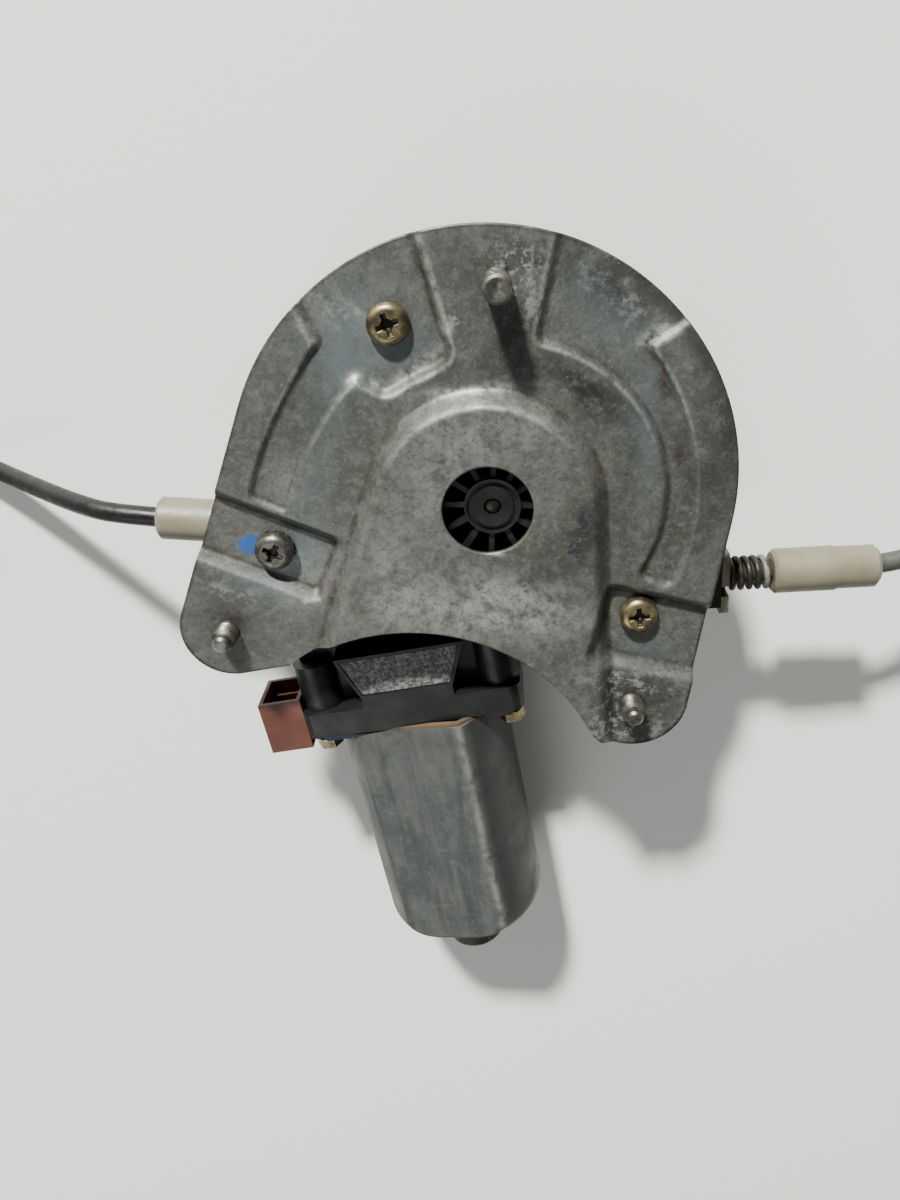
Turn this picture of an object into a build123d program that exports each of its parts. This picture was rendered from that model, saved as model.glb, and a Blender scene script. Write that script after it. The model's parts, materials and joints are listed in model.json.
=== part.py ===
from build123d import *
import math
import os

# Drive unit of a cable window regulator, in millimetres.
# The drum turns about Z through x = y = 0. The mounting plane that the studs stand on is z = 0, and
# +Z points out of the unit, towards the door panel. The motor lies along -Y, a little turned to +X.

# Cover plate: pressed sheet steel
sheet = 1.5
plate_r = 58.5
plate_centre = (-2.6, 2.2)
band_depth = 2.0
pad_depth = 2.8
dome_rise = 4.0
dome_r = 28.3
dome_centre = (-1.8, -1.5)
dome_left_flare = 18.0
dome_right_flare = -5.5
wall_draft = 40.0
dome_edge_r = 2.0
corner_r = 2.0
edge_overrun = 8.0
hub_hole_r = 10.5
hub_hole_centre = (-1.1, -0.5)
left_lug = (-65.3, -34.6)
left_lug_r = 12.5
right_lug = (37.2, -52.3)
right_lug_r = 13.5
bight_top = (-10.0, -33.0)
bight_left = (-50.8, -44.3)
bight_right_angle = 214.0
ring_r = 40.0
top_sector = (76.0, 107.5)
pad_arc_r = 34.5
left_band_start, left_band_end = 136.5, 181.0
left_band_inner_r = (42.9, 44.3, 48.9)
left_band_outer_r = (52.5, 52.7, 56.6)
right_band_start, right_band_end = 48.4, -26.0
right_band_outer_r = (48.4, 46.1, 47.2)

# Studs (x, y), then length above the mounting plane
stud_r = 3.0
stud_neck_r = 2.8
stud_hole_r = 3.4
stud_places = {"stud_top": (-0.1, 49.2), "stud_left": (-65.7, -35.0), "stud_right": (36.5, -53.5)}
stud_lengths = {"stud_top": 13.0, "stud_left": 5.0, "stud_right": 5.0}
pilot_r = 2.1
pilot_length = 2.6
stud_head_r = 5.2
stud_head = 2.5
stud_root = 8.0
stud_chamfer = 0.6

# Cover screws
screw_r = 2.4
screw_hole_r = 2.7
screw_head_r = 4.75
screw_head = 3.1
screw_dome_r = 2.0
recess = (5.2, 1.3, 1.8)
screw_length = 14.0
washer = 0.8
washer_r = 4.9
washer_teeth = 16
screw_top = (-23.4, 40.3)
screw_left = (-52.4, -13.2)
screw_right = (36.5, -28.9)
left_pad_turn, right_pad_turn = -21.5, -12.4
left_pad = (7.3, 6.7, 13.1)
right_pad = (4.9, 11.9, 8.6)

# Drum, axle and wound cable
fit_gap = 0.05
running_gap = 0.3
axle_r = 3.0
axle_tip_r = 2.0
axle_tip_length = 1.3
axle_root = 8.0
drum_r = 22.5
drum_flange = 1.0
drum_hub_r = 6.6
drum_web = 1.6
hub_cap = 1.6
hub_groove = (0.8, 0.6, 1.2)
crown_gap = 1.5
hub_gap = 0.5
crown_r = 18.5
crown_wall = 1.4
drum_ribs = 12
drum_rib = 1.3
barrel_wall = 3.0
wire_r = 0.75
groove_r = 0.85
wind_r = 21.0
left_wire_z, right_wire_z = -10.0, -15.6
wire_turns = 3
dogs = 3
dog_place = 14.7
dog_size = (6.0, 5.0)
dog_floor = 1.1
spoke_height = 4.0

# Worm gear
module = 1.25
wheel_teeth = 44
tooth_rise = 1.0
tooth_root = 1.3
tooth_angle = 20.0
worm_pitch_r = 4.6
worm_length = 20.0
thread_turns = 4
wheel_face = 9.0
wheel_hub_r = 8.0
mesh_slack = 0.28
motor_turn = 11.2
damper_r = 19.5
damper_depth = 3.3
damper_stand = 0.9
window_gap = 0.2
web_recess = 2.5

# Gear housing
wall = 2.5
gear_room_gap = 1.25
worm_gap = 0.5
floor_wall = 3.0
back_depth = 9.0
back_ribs = 8
back_rib = 2.0
back_hub_r = 9.0
ledge = 1.4
cover_sheet = 1.0
rim_chamfer = 0.6
guard_gap = 0.7
guard_wall = 1.2
guard_open_y = -12.0
boss_r = 5.4
boss_length = 15.0
spur_width = 3.0
tunnel_r = 7.5
tunnel_end = 27.0
worm_room_end = 13.0
rear_bush_r = 4.5
bush_length = 7.0
ball_r = 2.4
flange_half_height = 18.0
flange_half = 30.0
flange_a = 61.0
flange_thick = 7.5
front_bush_back = 18.0
flange_corner_r = 3.0
flange_pocket = 8.5
neck_inset = 2.0
neck_drop = 7.0
screw_barrel_r = 5.5
screw_barrel_length = 21.0
deck_back = (23.0, 10.4)
deck_half = (17.4, 12.4)
deck_recess = 0.3
deck_rim = 0.8
arm_width = 14.0
arm_rise, arm_drop = 5.4, 7.0
arm_length = 38.0
channel_r = 1.6

# Motor, measured along its axis from the worm wheel's centre line
can_inset = 6.0
can_flat_cut = 5.0
can_wall = 1.8
can_turn = 8.0
can_length = 78.0
can_edge_r = 3.5
gasket = 1.0
can_flange = 2.0
ear_half_height = 15.5
ear_inset = 0.4
ear_corner_r = 4.0
pot_r = 9.0
pot_length = 14.0
pot_edge_r = 2.0
motor_screw_inset, motor_screw_up = 4.0, 11.0
motor_screw_r, motor_screw_head_r, motor_screw_head = 2.0, 3.6, 3.0
motor_screw_length = 16.0
shaft_r = 2.5
air_gap = 1.0
core_ahead, core_length = 23.0, 36.0
slots = 10
slot_width, slot_depth = 2.6, 5.3
head_length = 6.0
magnet_thick = 7.2
magnet_span = 96.0
magnet_overhang = 3.0
commutator_r = 7.0
commutator_ahead, commutator_length = 7.5, 9.0
card_ahead, card_thick = 3.5, 2.5
brush_turn = 8.0
brush = (7.0, 4.6, 5.0)
brush_box_wall = 1.0
brush_box_inset = 4.5
brush_spring_r = (1.8, 1.1)

# Connector on the side of the housing
socket_back, socket_ahead = 11.5, 4.0
socket_width = 11.8
socket_top, socket_bottom = -9.5, -23.5
socket_wall = 1.1
socket_depth = 12.0
blade = (6.3, 0.8, 9.0)
blade_pitch = 6.4
blade_root = 2.5

# Cable ends at the housing
ferrule_r = 5.3
left_exit = (-82.4, -8.45)
left_exit_turn = -2.6
ferrule_length = 16.8
spigot_r = 4.0
spigot_length = 8.0
conduit_seat = 10.8
conduit_hold = 8.4
wire_bore_r = 1.0
right_exit = (58.0, -23.8)
right_exit_turn = 4.6
seat_flange = (16.6, 11.0, 1.9)
seat_flange_shift = -1.0
seat_slot = (2.8, -2.5, 1.0)
spring_wire_r = 0.72
spring_r = 3.75
spring_turns = 4.7
spring_length = 11.4
guide_r = 2.9
guide_reach = 5.0
adjuster_r = 5.7
adjuster_tail_r = 5.4
adjuster_length = 26.2
adjuster_step = 15.5
adjuster_bore_r = 3.1
adjuster_bore = 13.0
mouth_flare = (3.5, 5.0)
seat_corner_r = 2.0
wire_overlap = 6.0
left_lead = 12.0
wire_bend_r = 30.0

# Free conduits, lying on the surface that the unit's back stands on
conduit_r = 2.5
coil_r = 27.0
coil_lift = 0.6
coil_layers = 2
left_coil_out, right_coil_out = 180.0, 0.0
left_tie_turn, right_tie_turn = 120.0, 65.0
tie_width = 6.0
tie_wall = 0.5
end_cap_r = 3.6
end_cap_length = 14.0
end_wire = 12.0
nipple_r = 2.4
nipple_length = 6.0

# Levels and radii worked out from the sizes above
wheel_r = module * wheel_teeth / 2
tooth_pitch = math.pi * module
worm_offset = wheel_r + worm_pitch_r
worm_outer_r = worm_pitch_r + tooth_rise
room_r = wheel_r + tooth_rise + gear_room_gap
housing_r = room_r + wall
groove_top = left_wire_z + groove_r + 0.15
groove_low = right_wire_z - groove_r - 0.15
drum_top = groove_top + drum_flange
drum_bottom = groove_low - drum_flange
drum_crown = dome_rise - sheet - crown_gap
hub_top = dome_rise - sheet - hub_gap
ledge_z = drum_bottom - running_gap - cover_sheet
motor_z = ledge_z - worm_gap - worm_outer_r
wheel_top = motor_z + wheel_face / 2
wheel_bottom = motor_z - wheel_face / 2
damper_top = wheel_top + damper_stand
damper_bottom = damper_top - damper_depth
floor_top = motor_z - tunnel_r - 1.5
back_z = floor_top - floor_wall - back_depth
press_reach = plate_r / 2
flange_seat = flange_a + gasket + can_flange
flange_start = flange_a - flange_thick
front_bush_start = flange_a - front_bush_back
screw_barrel_start = flange_a - screw_barrel_length
deck_start, deck_end = flange_a - deck_back[0], flange_a - deck_back[1]
socket_start, socket_end = flange_a - socket_back, flange_a + socket_ahead
card_start = flange_a + card_ahead
commutator_start = flange_a + commutator_ahead
core_start = flange_a + core_ahead
can_end = flange_a + can_length
can_r = flange_half - can_inset
can_flat = can_r - can_flat_cut
brush_box_reach = can_r - brush_box_inset
magnet_inner_r = can_r - can_wall - magnet_thick
core_r = magnet_inner_r - air_gap
motor_screw_side = flange_half - motor_screw_inset
lead_r = wind_r + 2 * wire_r + 0.1
lying_z = back_z + coil_lift + conduit_r
motor_dir = Vector(math.sin(math.radians(motor_turn)), -math.cos(math.radians(motor_turn)), 0)
side_dir = Vector(math.cos(math.radians(motor_turn)), math.sin(math.radians(motor_turn)), 0)

# Routes of the free conduits, from inside their fittings to the coils
left_route = [
    (-71.7, -8.94, -10.0),
    (-93.6, -7.95, -10.0),
    (-106.0, -6.9, -15.4),
    (-119.3, -6.4, -24.8),
    (-133.3, -5.4, -34.4),
    (-147.5, -2.4, -41.0),
    (-159.8, 2.2, -42.9),
    (-169.0, 6.0, -42.9),
]
right_route = [
    (89.0, -21.31, -15.6),
    (102.8, -20.2, -15.6),
    (114.0, -14.8, -18.8),
    (126.5, -8.2, -26.6),
    (139.5, 0.4, -35.6),
    (152.0, 9.6, -41.4),
    (164.0, 18.6, -42.9),
    (172.0, 25.0, -42.9),
]


def polar(radius, degrees, centre=(0, 0)):
    turn = math.radians(degrees)
    return (centre[0] + radius * math.cos(turn), centre[1] + radius * math.sin(turn))


def motor_plane(along):
    """Plane square to the motor axis: local x to the side, local y up, local z along the axis."""
    origin = side_dir * -worm_offset + motor_dir * along + Vector(0, 0, motor_z)
    return Plane(origin, x_dir=side_dir, z_dir=motor_dir)


def tube(radius, inner, length, plane=Plane.XY):
    outer = extrude(plane * Circle(radius), length)
    if inner <= 0:
        return outer
    return outer - extrude(plane * Circle(inner), length)


def flat_face(edges):
    """Flat face inside the edges, facing up."""
    face = Face(Wire(edges))
    return face if face.normal_at().Z > 0 else -face


def post(place, radius, low, high):
    return extrude(Plane.XY.offset(low) * Pos(*place) * Circle(radius), high - low)


def outer_tangent(first, first_r, second, second_r, side):
    """Both ends of the straight line that touches two circles on one side."""
    way = Vector(second[0] - first[0], second[1] - first[1])
    turn = math.degrees(math.atan2(way.Y, way.X))
    turn += side * math.degrees(math.acos((first_r - second_r) / way.length))
    return polar(first_r, turn, first), polar(second_r, turn, second)


def plate_outline():
    left_high, left_low = outer_tangent(plate_centre, plate_r, left_lug, left_lug_r, -1)
    right_high, right_low = outer_tangent(plate_centre, plate_r, right_lug, right_lug_r, 1)
    bight_right = polar(right_lug_r, bight_right_angle, right_lug)
    heel = polar(left_lug_r, -78, left_lug)
    edges = [
        ThreePointArc(left_high, polar(plate_r, 80, plate_centre), right_high),
        Line(right_high, right_low),
        ThreePointArc(right_low, polar(right_lug_r, -80, right_lug), bight_right),
        ThreePointArc(bight_right, bight_top, bight_left),
        Line(bight_left, heel),
        ThreePointArc(heel, polar(left_lug_r, 200, left_lug), left_low),
        Line(left_low, left_high),
    ]
    return flat_face(edges)


def left_band():
    """Low area of the top screw pad, carried on down the left side as a curved band."""
    beyond = plate_r + edge_overrun
    inner_turns = (left_band_start, 160, left_band_end + 2)
    outer_turns = (left_band_start, 158, left_band_end - 2)
    inner_edge = [polar(r, a) for r, a in zip(left_band_inner_r, inner_turns)]
    outer_edge = [polar(r, a) for r, a in zip(left_band_outer_r, outer_turns)][::-1]
    edges = [
        Line(polar(beyond, top_sector[1]), polar(pad_arc_r + 1, top_sector[1])),
        Line(polar(pad_arc_r + 1, top_sector[1]), polar(pad_arc_r, top_sector[1] + 4)),
        ThreePointArc(polar(pad_arc_r, top_sector[1] + 4), polar(pad_arc_r, 122), polar(pad_arc_r + 1, 134)),
        Line(polar(pad_arc_r + 1, 134), polar(left_band_inner_r[0], left_band_start)),
        ThreePointArc(*inner_edge),
        Line(polar(left_band_inner_r[2], left_band_end + 2), polar(left_band_outer_r[2], left_band_end - 2)),
        ThreePointArc(*outer_edge),
        Line(polar(left_band_outer_r[0], left_band_start), polar(beyond, 133)),
        ThreePointArc(polar(beyond, 133), polar(beyond, 120), polar(beyond, top_sector[1])),
    ]
    return flat_face(edges)


def right_band():
    """Low sector beside the top stud, carried on down the right side as a curved band."""
    beyond = plate_r + edge_overrun
    low_inner = polar(ring_r, right_band_end)
    low_outer = polar(right_band_outer_r[2], right_band_end + 1)
    high_outer = polar(right_band_outer_r[0], right_band_start)
    rim_point = polar(beyond, top_sector[0] + 2)
    edges = [
        Line(rim_point, polar(ring_r - 1.5, top_sector[0])),
        ThreePointArc(polar(ring_r - 1.5, top_sector[0]), polar(ring_r, 40), low_inner),
        Line(low_inner, low_outer),
        ThreePointArc(low_outer, polar(right_band_outer_r[1], 15), high_outer),
        Line(high_outer, polar(beyond, right_band_start - 4)),
        ThreePointArc(polar(beyond, right_band_start - 4), polar(beyond, 62), rim_point),
    ]
    return flat_face(edges)


def screw_pad(screw, turn, extents, outward):
    """Low pad round a cover screw, open to the plate's edge on its outward side."""
    above, below, inboard = extents
    reach = plate_r
    low_x = -reach if outward < 0 else -inboard
    high_x = inboard if outward < 0 else reach
    width, depth = high_x - low_x, above + below
    middle = Pos((high_x + low_x) / 2, (above - below) / 2)
    return (Pos(*screw) * Rot(0, 0, turn) * middle * Rectangle(width, depth)).face()


def dome_face():
    """Round at the top, and running on between two straight sides past the plate's lower edge."""
    reach = 1.5 * plate_r
    left_turn, right_turn = 180 - dome_left_flare, dome_right_flare * -1
    left_top, right_top = polar(dome_r, left_turn, dome_centre), polar(dome_r, right_turn, dome_centre)
    left_low = polar(reach, left_turn + 90, left_top)
    right_low = polar(reach, right_turn - 90, right_top)
    edges = [
        Line(left_top, left_low),
        Line(left_low, right_low),
        Line(right_low, right_top),
        ThreePointArc(right_top, polar(dome_r, 90, dome_centre), left_top),
    ]
    return flat_face(edges)


def pressed_form(drop):
    """Solid below the plate's upper skin, or below its lower skin when dropped by one sheet thickness."""
    spread = drop * math.tan(math.radians(wall_draft / 2))
    form = extrude(Plane.XY.offset(-press_reach) * Rectangle(4 * plate_r, 4 * plate_r), press_reach - drop)
    pockets = [
        (left_band(), band_depth),
        (right_band(), band_depth),
        (screw_pad(screw_left, left_pad_turn, left_pad, -1), pad_depth),
        (screw_pad(screw_right, right_pad_turn, right_pad, 1), pad_depth),
    ]
    for face, depth in pockets:
        floor = face.fillet_2d(corner_r, face.vertices())
        if drop:
            floor = offset(floor, spread)
        form -= Pos(0, 0, -depth - drop) * extrude(floor, depth + 1, taper=-wall_draft)
    dome = offset(dome_face(), -spread) if drop else dome_face()
    crown = Pos(0, 0, -drop) * extrude(dome, dome_rise, taper=wall_draft)
    crown = fillet(crown.edges().group_by(Axis.Z)[-1], max(dome_edge_r - drop, 0.4))
    return form + crown


def cover_plate():
    blank = extrude(Plane.XY.offset(-press_reach) * plate_outline(), 2 * press_reach)
    plate = (pressed_form(0) - pressed_form(sheet)) & blank
    holes = [(hub_hole_centre, hub_hole_r)]
    holes += [(place, stud_hole_r) for place in stud_places.values()]
    holes += [(place, screw_hole_r) for place in (screw_top, screw_left, screw_right)]
    for place, radius in holes:
        plate -= post(place, radius, -press_reach, press_reach)
    return plate


def stud(name):
    """Stud with its head under the plate; the two lower ones end in a thinner pilot."""
    place, length = stud_places[name], stud_lengths[name]
    shank = post(place, stud_r, 0, length)
    shape = chamfer(shank.edges().sort_by(Axis.Z)[-1], stud_chamfer)
    shape += post(place, stud_neck_r, -sheet, 0)
    shape += post(place, stud_head_r, -sheet - stud_head, -sheet)
    shape += post(place, stud_r, -sheet - stud_head - stud_root, -sheet - stud_head)
    if name == "stud_top":
        return shape
    pilot = post(place, pilot_r, length - 1, length + pilot_length)
    return shape + chamfer(pilot.edges().sort_by(Axis.Z)[-1], stud_chamfer)


def cover_screw(place, seat):
    """Pan head screw with a cross recess."""
    head = post(place, screw_head_r, seat, seat + screw_head)
    head = fillet(head.edges().sort_by(Axis.Z)[-1], screw_dome_r)
    cross = Pos(*place, seat + screw_head - recess[2])
    head -= cross * extrude(Rectangle(recess[0], recess[1]) + Rectangle(recess[1], recess[0]), recess[2] + 1)
    return head + post(place, screw_r, seat - screw_length, seat)


def star_washer():
    """Toothed washer under the left cover screw."""
    teeth = [Rot(0, 0, 360 / washer_teeth * k) * Pos(washer_r - 0.7, 0) for k in range(washer_teeth)]
    outline = Circle(washer_r - 0.8) + [tooth * Rectangle(1.4, 1.0) for tooth in teeth]
    return Pos(*screw_left, -pad_depth) * extrude(outline - Circle(screw_hole_r), washer)


def cable_plane(mouth, turn, height, along, lift=0):
    """Plane square to a cable fitting's axis: local x to the side, local y up, local z towards +X."""
    way = Vector(math.cos(math.radians(turn)), math.sin(math.radians(turn)), 0)
    origin = Vector(mouth[0], mouth[1], height + lift) + way * along
    return Plane(origin, x_dir=(-way.Y, way.X, 0), z_dir=way)


def left_plane(along, lift=0):
    """Along the left ferrule, from its outer mouth inwards."""
    return cable_plane(left_exit, left_exit_turn, left_wire_z, along, lift)


def right_plane(along, lift=0):
    """Along the right fittings, from the housing's arm outwards."""
    return cable_plane(right_exit, right_exit_turn, right_wire_z, along, lift)


def place_on(plane):
    return (plane.origin.X, plane.origin.Y)


def wire_bends():
    """Where the left and right inner wires turn from their fitting's axis towards the drum."""
    left = left_plane(ferrule_length + spigot_length + left_lead)
    return place_on(left), place_on(right_plane(-spigot_length))


def touch_turns():
    """Directions from the drum's axis at which the left and right cables touch the winding."""
    left, right = wire_bends()
    left_way = math.degrees(math.atan2(left[1], left[0])) % 360 - 360
    right_way = math.degrees(math.atan2(right[1], right[0]))
    left_turn = left_way + math.degrees(math.acos(lead_r / math.hypot(*left)))
    right_turn = right_way - math.degrees(math.acos(lead_r / math.hypot(*right)))
    return left_turn, right_turn


def wind_path():
    """Left-handed helix from the lower, right-hand cable up to the left-hand one."""
    left_turn, right_turn = touch_turns()
    turns = wire_turns + (right_turn - left_turn) / 360
    rise = left_wire_z - right_wire_z
    return Pos(0, 0, right_wire_z) * Rot(0, 0, right_turn) * Helix(rise / turns, rise, wind_r, lefthand=True)


def along_path(path, radius):
    start = Plane(path @ 0, z_dir=path % 0)
    return sweep(start * Circle(radius), path=path, is_frenet=True)


def cable_winding():
    return along_path(wind_path(), wire_r)


def wire_path(side, fitting_end):
    """Straight from the winding's outside to the bend, then along the fitting's axis."""
    left_bend, right_bend = wire_bends()
    left_turn, right_turn = touch_turns()
    height, bend, turn = left_wire_z, left_bend, left_turn
    if side == "right":
        height, bend, turn = right_wire_z, right_bend, right_turn
    points = [(*polar(lead_r, turn), height), (*bend, height), (*fitting_end, height)]
    return FilletPolyline(*points, radius=wire_bend_r)


def inner_wire(side):
    if side == "left":
        end = place_on(left_plane(conduit_seat + 1))
    else:
        end = place_on(right_plane(seat_flange[2] + spring_length + wire_overlap))
    return along_path(wire_path(side, end), wire_r)


def ring(outer, inner, low, high):
    return post((0, 0), outer, low, high) - post((0, 0), inner, low - 1, high + 1)


def cable_drum():
    """Grooved barrel, web, hub and the ribbed crown that shows through the plate's opening."""
    inner = wind_r - barrel_wall
    shape = ring(wind_r, inner, drum_bottom, drum_top)
    shape += ring(drum_r, inner, drum_bottom, drum_bottom + drum_flange)
    shape += ring(drum_r, inner, drum_top - drum_flange, drum_top)
    shape += post((0, 0), wind_r, drum_top - drum_web, drum_top)
    shape += post((0, 0), drum_hub_r, drum_bottom, hub_top)
    shape += ring(crown_r, crown_r - crown_wall, drum_top - 0.5, drum_crown)
    for turn in range(drum_ribs):
        rib = Rot(0, 0, 360 / drum_ribs * turn) * Pos((drum_hub_r + crown_r - 1) / 2, 0)
        rib *= Rectangle(crown_r - drum_hub_r, drum_rib)
        shape += extrude(Plane.XY.offset(drum_top - 0.5) * rib, drum_crown - drum_top + 0.5)
    for turn in range(dogs):
        spoke = Rot(0, 0, 360 / dogs * turn) * Pos((inner + drum_hub_r) / 2, 0)
        spoke *= Rectangle(inner - drum_hub_r + 1, dog_size[1])
        shape += extrude(Plane.XY.offset(drum_bottom) * spoke, spoke_height)
        dog = Rot(0, 0, 360 / dogs * turn) * Pos(dog_place, 0) * Rectangle(*dog_size)
        dog_low = damper_bottom + dog_floor
        shape += extrude(Plane.XY.offset(dog_low) * dog, drum_bottom - dog_low + 0.5)
    shape -= post((0, 0), axle_r + fit_gap, drum_bottom - 1, hub_top - hub_cap)
    shape -= post((0, 0), axle_tip_r + fit_gap, hub_top - hub_cap - 1, hub_top + 1)
    step, narrow, wide = hub_groove
    shape -= ring(drum_hub_r - narrow, drum_hub_r - narrow - wide, hub_top - step, hub_top + 1)
    return shape - along_path(wind_path(), groove_r)


def drum_axle():
    """Pressed into the housing's back hub; its thinner tip shows in the drum's hub."""
    shoulder = hub_top - hub_cap - running_gap
    shape = post((0, 0), axle_r, floor_top - axle_root, shoulder)
    shape += post((0, 0), axle_tip_r, shoulder, shoulder + axle_tip_length)
    return chamfer(shape.edges().sort_by(Axis.Z)[-1], 0.4)


def tooth_half(height):
    """Half the width of a worm tooth at a height above the pitch line, before its clearance."""
    return tooth_pitch / 4 - height * math.tan(math.radians(tooth_angle))


def tooth_slots():
    """One cutter for each gap between the wheel's teeth, leaning at the worm's lead angle."""
    tip, root = wheel_r + tooth_rise + 1, wheel_r - tooth_root
    at_root = tooth_pitch / 4 - tooth_root * math.tan(math.radians(tooth_angle)) + mesh_slack
    at_tip = tooth_pitch / 4 + (tooth_rise + 1) * math.tan(math.radians(tooth_angle)) + mesh_slack
    gap = Polyline((root, -at_root), (tip, -at_tip), (tip, at_tip), (root, at_root), close=True)
    lead = math.degrees(math.atan(tooth_pitch / (2 * math.pi * worm_pitch_r)))
    cutter = extrude(Plane.XY.offset(-wheel_face) * make_face(gap), 2 * wheel_face)
    cutter = Pos(0, 0, motor_z) * Rot(-lead, 0, 0) * cutter
    first = 180 + motor_turn
    return [Rot(0, 0, first + 360 / wheel_teeth * k) * cutter for k in range(wheel_teeth)]


def worm_wheel():
    """Toothed rim and web, with a recess above for the damper and a shallower one below."""
    shape = post((0, 0), wheel_r + tooth_rise, wheel_bottom, wheel_top)
    shape -= tooth_slots()
    shape -= ring(damper_r + fit_gap, wheel_hub_r, damper_bottom, wheel_top + 1)
    shape -= ring(damper_r + fit_gap, wheel_hub_r, wheel_bottom - 1, wheel_bottom + web_recess)
    shape += post((0, 0), wheel_hub_r, floor_top + running_gap, drum_bottom)
    return shape - post((0, 0), axle_r + fit_gap, back_z, 0)


def damper():
    """Rubber ring in the wheel, with windows that the drum's dogs stand in."""
    shape = ring(damper_r, wheel_hub_r + window_gap, damper_bottom, damper_top)
    for turn in range(dogs):
        window = Rot(0, 0, 360 / dogs * turn) * Pos(dog_place, 0)
        window *= Rectangle(dog_size[0] + 2 * window_gap, dog_size[1] + 2 * window_gap)
        shape -= extrude(Plane.XY.offset(damper_bottom + dog_floor - window_gap) * window, damper_depth)
    return shape


def gear_cover():
    """Disc between the gear room and the drum, with a wall that keeps the cable on the drum."""
    shape = ring(room_r + ledge - fit_gap, damper_r + 1, ledge_z, ledge_z + cover_sheet)
    guard_r = drum_r + guard_gap
    guard = ring(guard_r + guard_wall, guard_r, ledge_z, drum_top)
    opening = Pos(0, guard_open_y - drum_r, 0) * Box(3 * drum_r, 2 * drum_r, 4 * drum_r)
    floor = Pos(0, 0, ledge_z + cover_sheet - 2 * drum_r) * Box(4 * drum_r, 4 * drum_r, 4 * drum_r)
    return shape + (guard - (opening - floor))


def worm():
    """Single-start thread of straight-sided section on a sleeve that is pressed on the shaft."""
    root_r = worm_pitch_r - tooth_root
    at_root = tooth_half(-tooth_root) - mesh_slack
    at_tip = tooth_half(tooth_rise) - mesh_slack
    sleeve = tube(root_r, shaft_r, worm_length, motor_plane(-worm_length / 2))
    foot, tip = root_r - 0.2, worm_outer_r
    flank = Polyline((foot, -at_root), (tip, -at_tip), (tip, at_tip), (foot, at_root), close=True)
    helix = Helix(tooth_pitch, thread_turns * tooth_pitch, root_r)
    thread = sweep(make_face(Plane.XZ * flank), path=helix, is_frenet=True)
    return sleeve + motor_plane(-thread_turns * tooth_pitch / 2).location * thread


def thrust_ball():
    return motor_plane(-tunnel_end + wall + ball_r).location * Sphere(ball_r)


def armature_shaft():
    start = -tunnel_end + wall + 2 * ball_r
    return tube(shaft_r, 0, can_end + pot_length - can_wall - running_gap - start, motor_plane(start))


def slot_ring(radius, length, width):
    spots = [Rot(0, 0, 360 / slots * k) * Pos(radius, 0) for k in range(slots)]
    return [spot * Rectangle(length, width) for spot in spots]


def armature_core():
    """Laminated core, slotted for the winding."""
    outline = Circle(core_r) - Circle(shaft_r)
    outline -= slot_ring(core_r - slot_depth / 2 + 0.5, slot_depth + 1, slot_width)
    return extrude(motor_plane(core_start) * outline, core_length)


def armature_winding():
    """Coil sides in the core's slots, joined by a rounded head at each end."""
    sides = slot_ring(core_r - slot_depth / 2 - 0.4, slot_depth - 1.0, slot_width - 0.2)
    shape = extrude(motor_plane(core_start - 1) * (Sketch() + sides), core_length + 2)
    for start, end in ((core_start, -1), (core_start + core_length, 1)):
        low = min(start, start + end * head_length)
        head = tube(core_r - 1.4, shaft_r + 0.6, head_length, motor_plane(low))
        outer = head.edges().filter_by(GeomType.CIRCLE).group_by(SortBy.RADIUS)[-1]
        shape += fillet(outer, head_length / 3)
    return shape


def commutator():
    """Copper segments on the shaft, parted by narrow gaps."""
    outline = Circle(commutator_r) - Circle(shaft_r)
    outline -= [Rot(0, 0, 18) * gap for gap in slot_ring(commutator_r, 1.6, 0.5)]
    return extrude(motor_plane(commutator_start) * outline, commutator_length)


def can_outline(inset):
    """Circle with two flats, turned a little about the motor's axis."""
    radius, flat = can_r - inset, can_flat - inset
    return Rot(0, 0, can_turn) * (Circle(radius) & Rectangle(2 * can_r, 2 * flat))


def ear_plate(inset):
    """The can's own mouth joined to a bar that carries the screws."""
    width, height = 2 * (flange_half - inset), 2 * (ear_half_height - inset)
    return RectangleRounded(width, height, ear_corner_r) + can_outline(inset)


def motor_screw_spots():
    return [(x, y) for x in (-motor_screw_side, motor_screw_side) for y in (-motor_screw_up, motor_screw_up)]


def far_edges(shape):
    """Edges of the face that lies furthest along the motor's axis."""
    return shape.faces().sort_by(Axis(motor_plane(0).origin, motor_dir))[-1].edges()


def screw_holes(start, length, radius):
    return [extrude(motor_plane(start) * Pos(*spot) * Circle(radius), length) for spot in motor_screw_spots()]


def can_body(start):
    """Round can and flat block, each rounded at its far end; what they share is the double-flat can."""
    length = can_end - start
    plane = motor_plane(start)
    can = extrude(plane * Circle(can_r), length)
    block = extrude(plane * Rot(0, 0, can_turn) * Rectangle(2 * can_r, 2 * can_flat), length)
    return fillet(far_edges(can), can_edge_r) & fillet(far_edges(block), can_edge_r)


def motor_can():
    """Drawn steel can with its flange at the mouth and the bearing pot at the closed end."""
    mouth = flange_a + gasket
    body = can_body(mouth)
    body += extrude(motor_plane(mouth) * ear_plate(ear_inset), can_flange)
    pot = extrude(motor_plane(can_end - 1) * Circle(pot_r), pot_length + 1)
    body += fillet(far_edges(pot), pot_edge_r)
    body -= extrude(motor_plane(mouth - 1) * can_outline(can_wall), can_end - can_wall - mouth + 1)
    body -= extrude(motor_plane(can_end - can_wall - 1) * Circle(pot_r - can_wall), pot_length + 1)
    return body - screw_holes(mouth - 1, can_flange + 2, motor_screw_r + running_gap)


def motor_gasket():
    shape = extrude(motor_plane(flange_a) * ear_plate(ear_inset), gasket)
    shape -= extrude(motor_plane(flange_a) * can_outline(can_wall), gasket)
    return shape - screw_holes(flange_a - 1, gasket + 2, motor_screw_r + running_gap)


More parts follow.
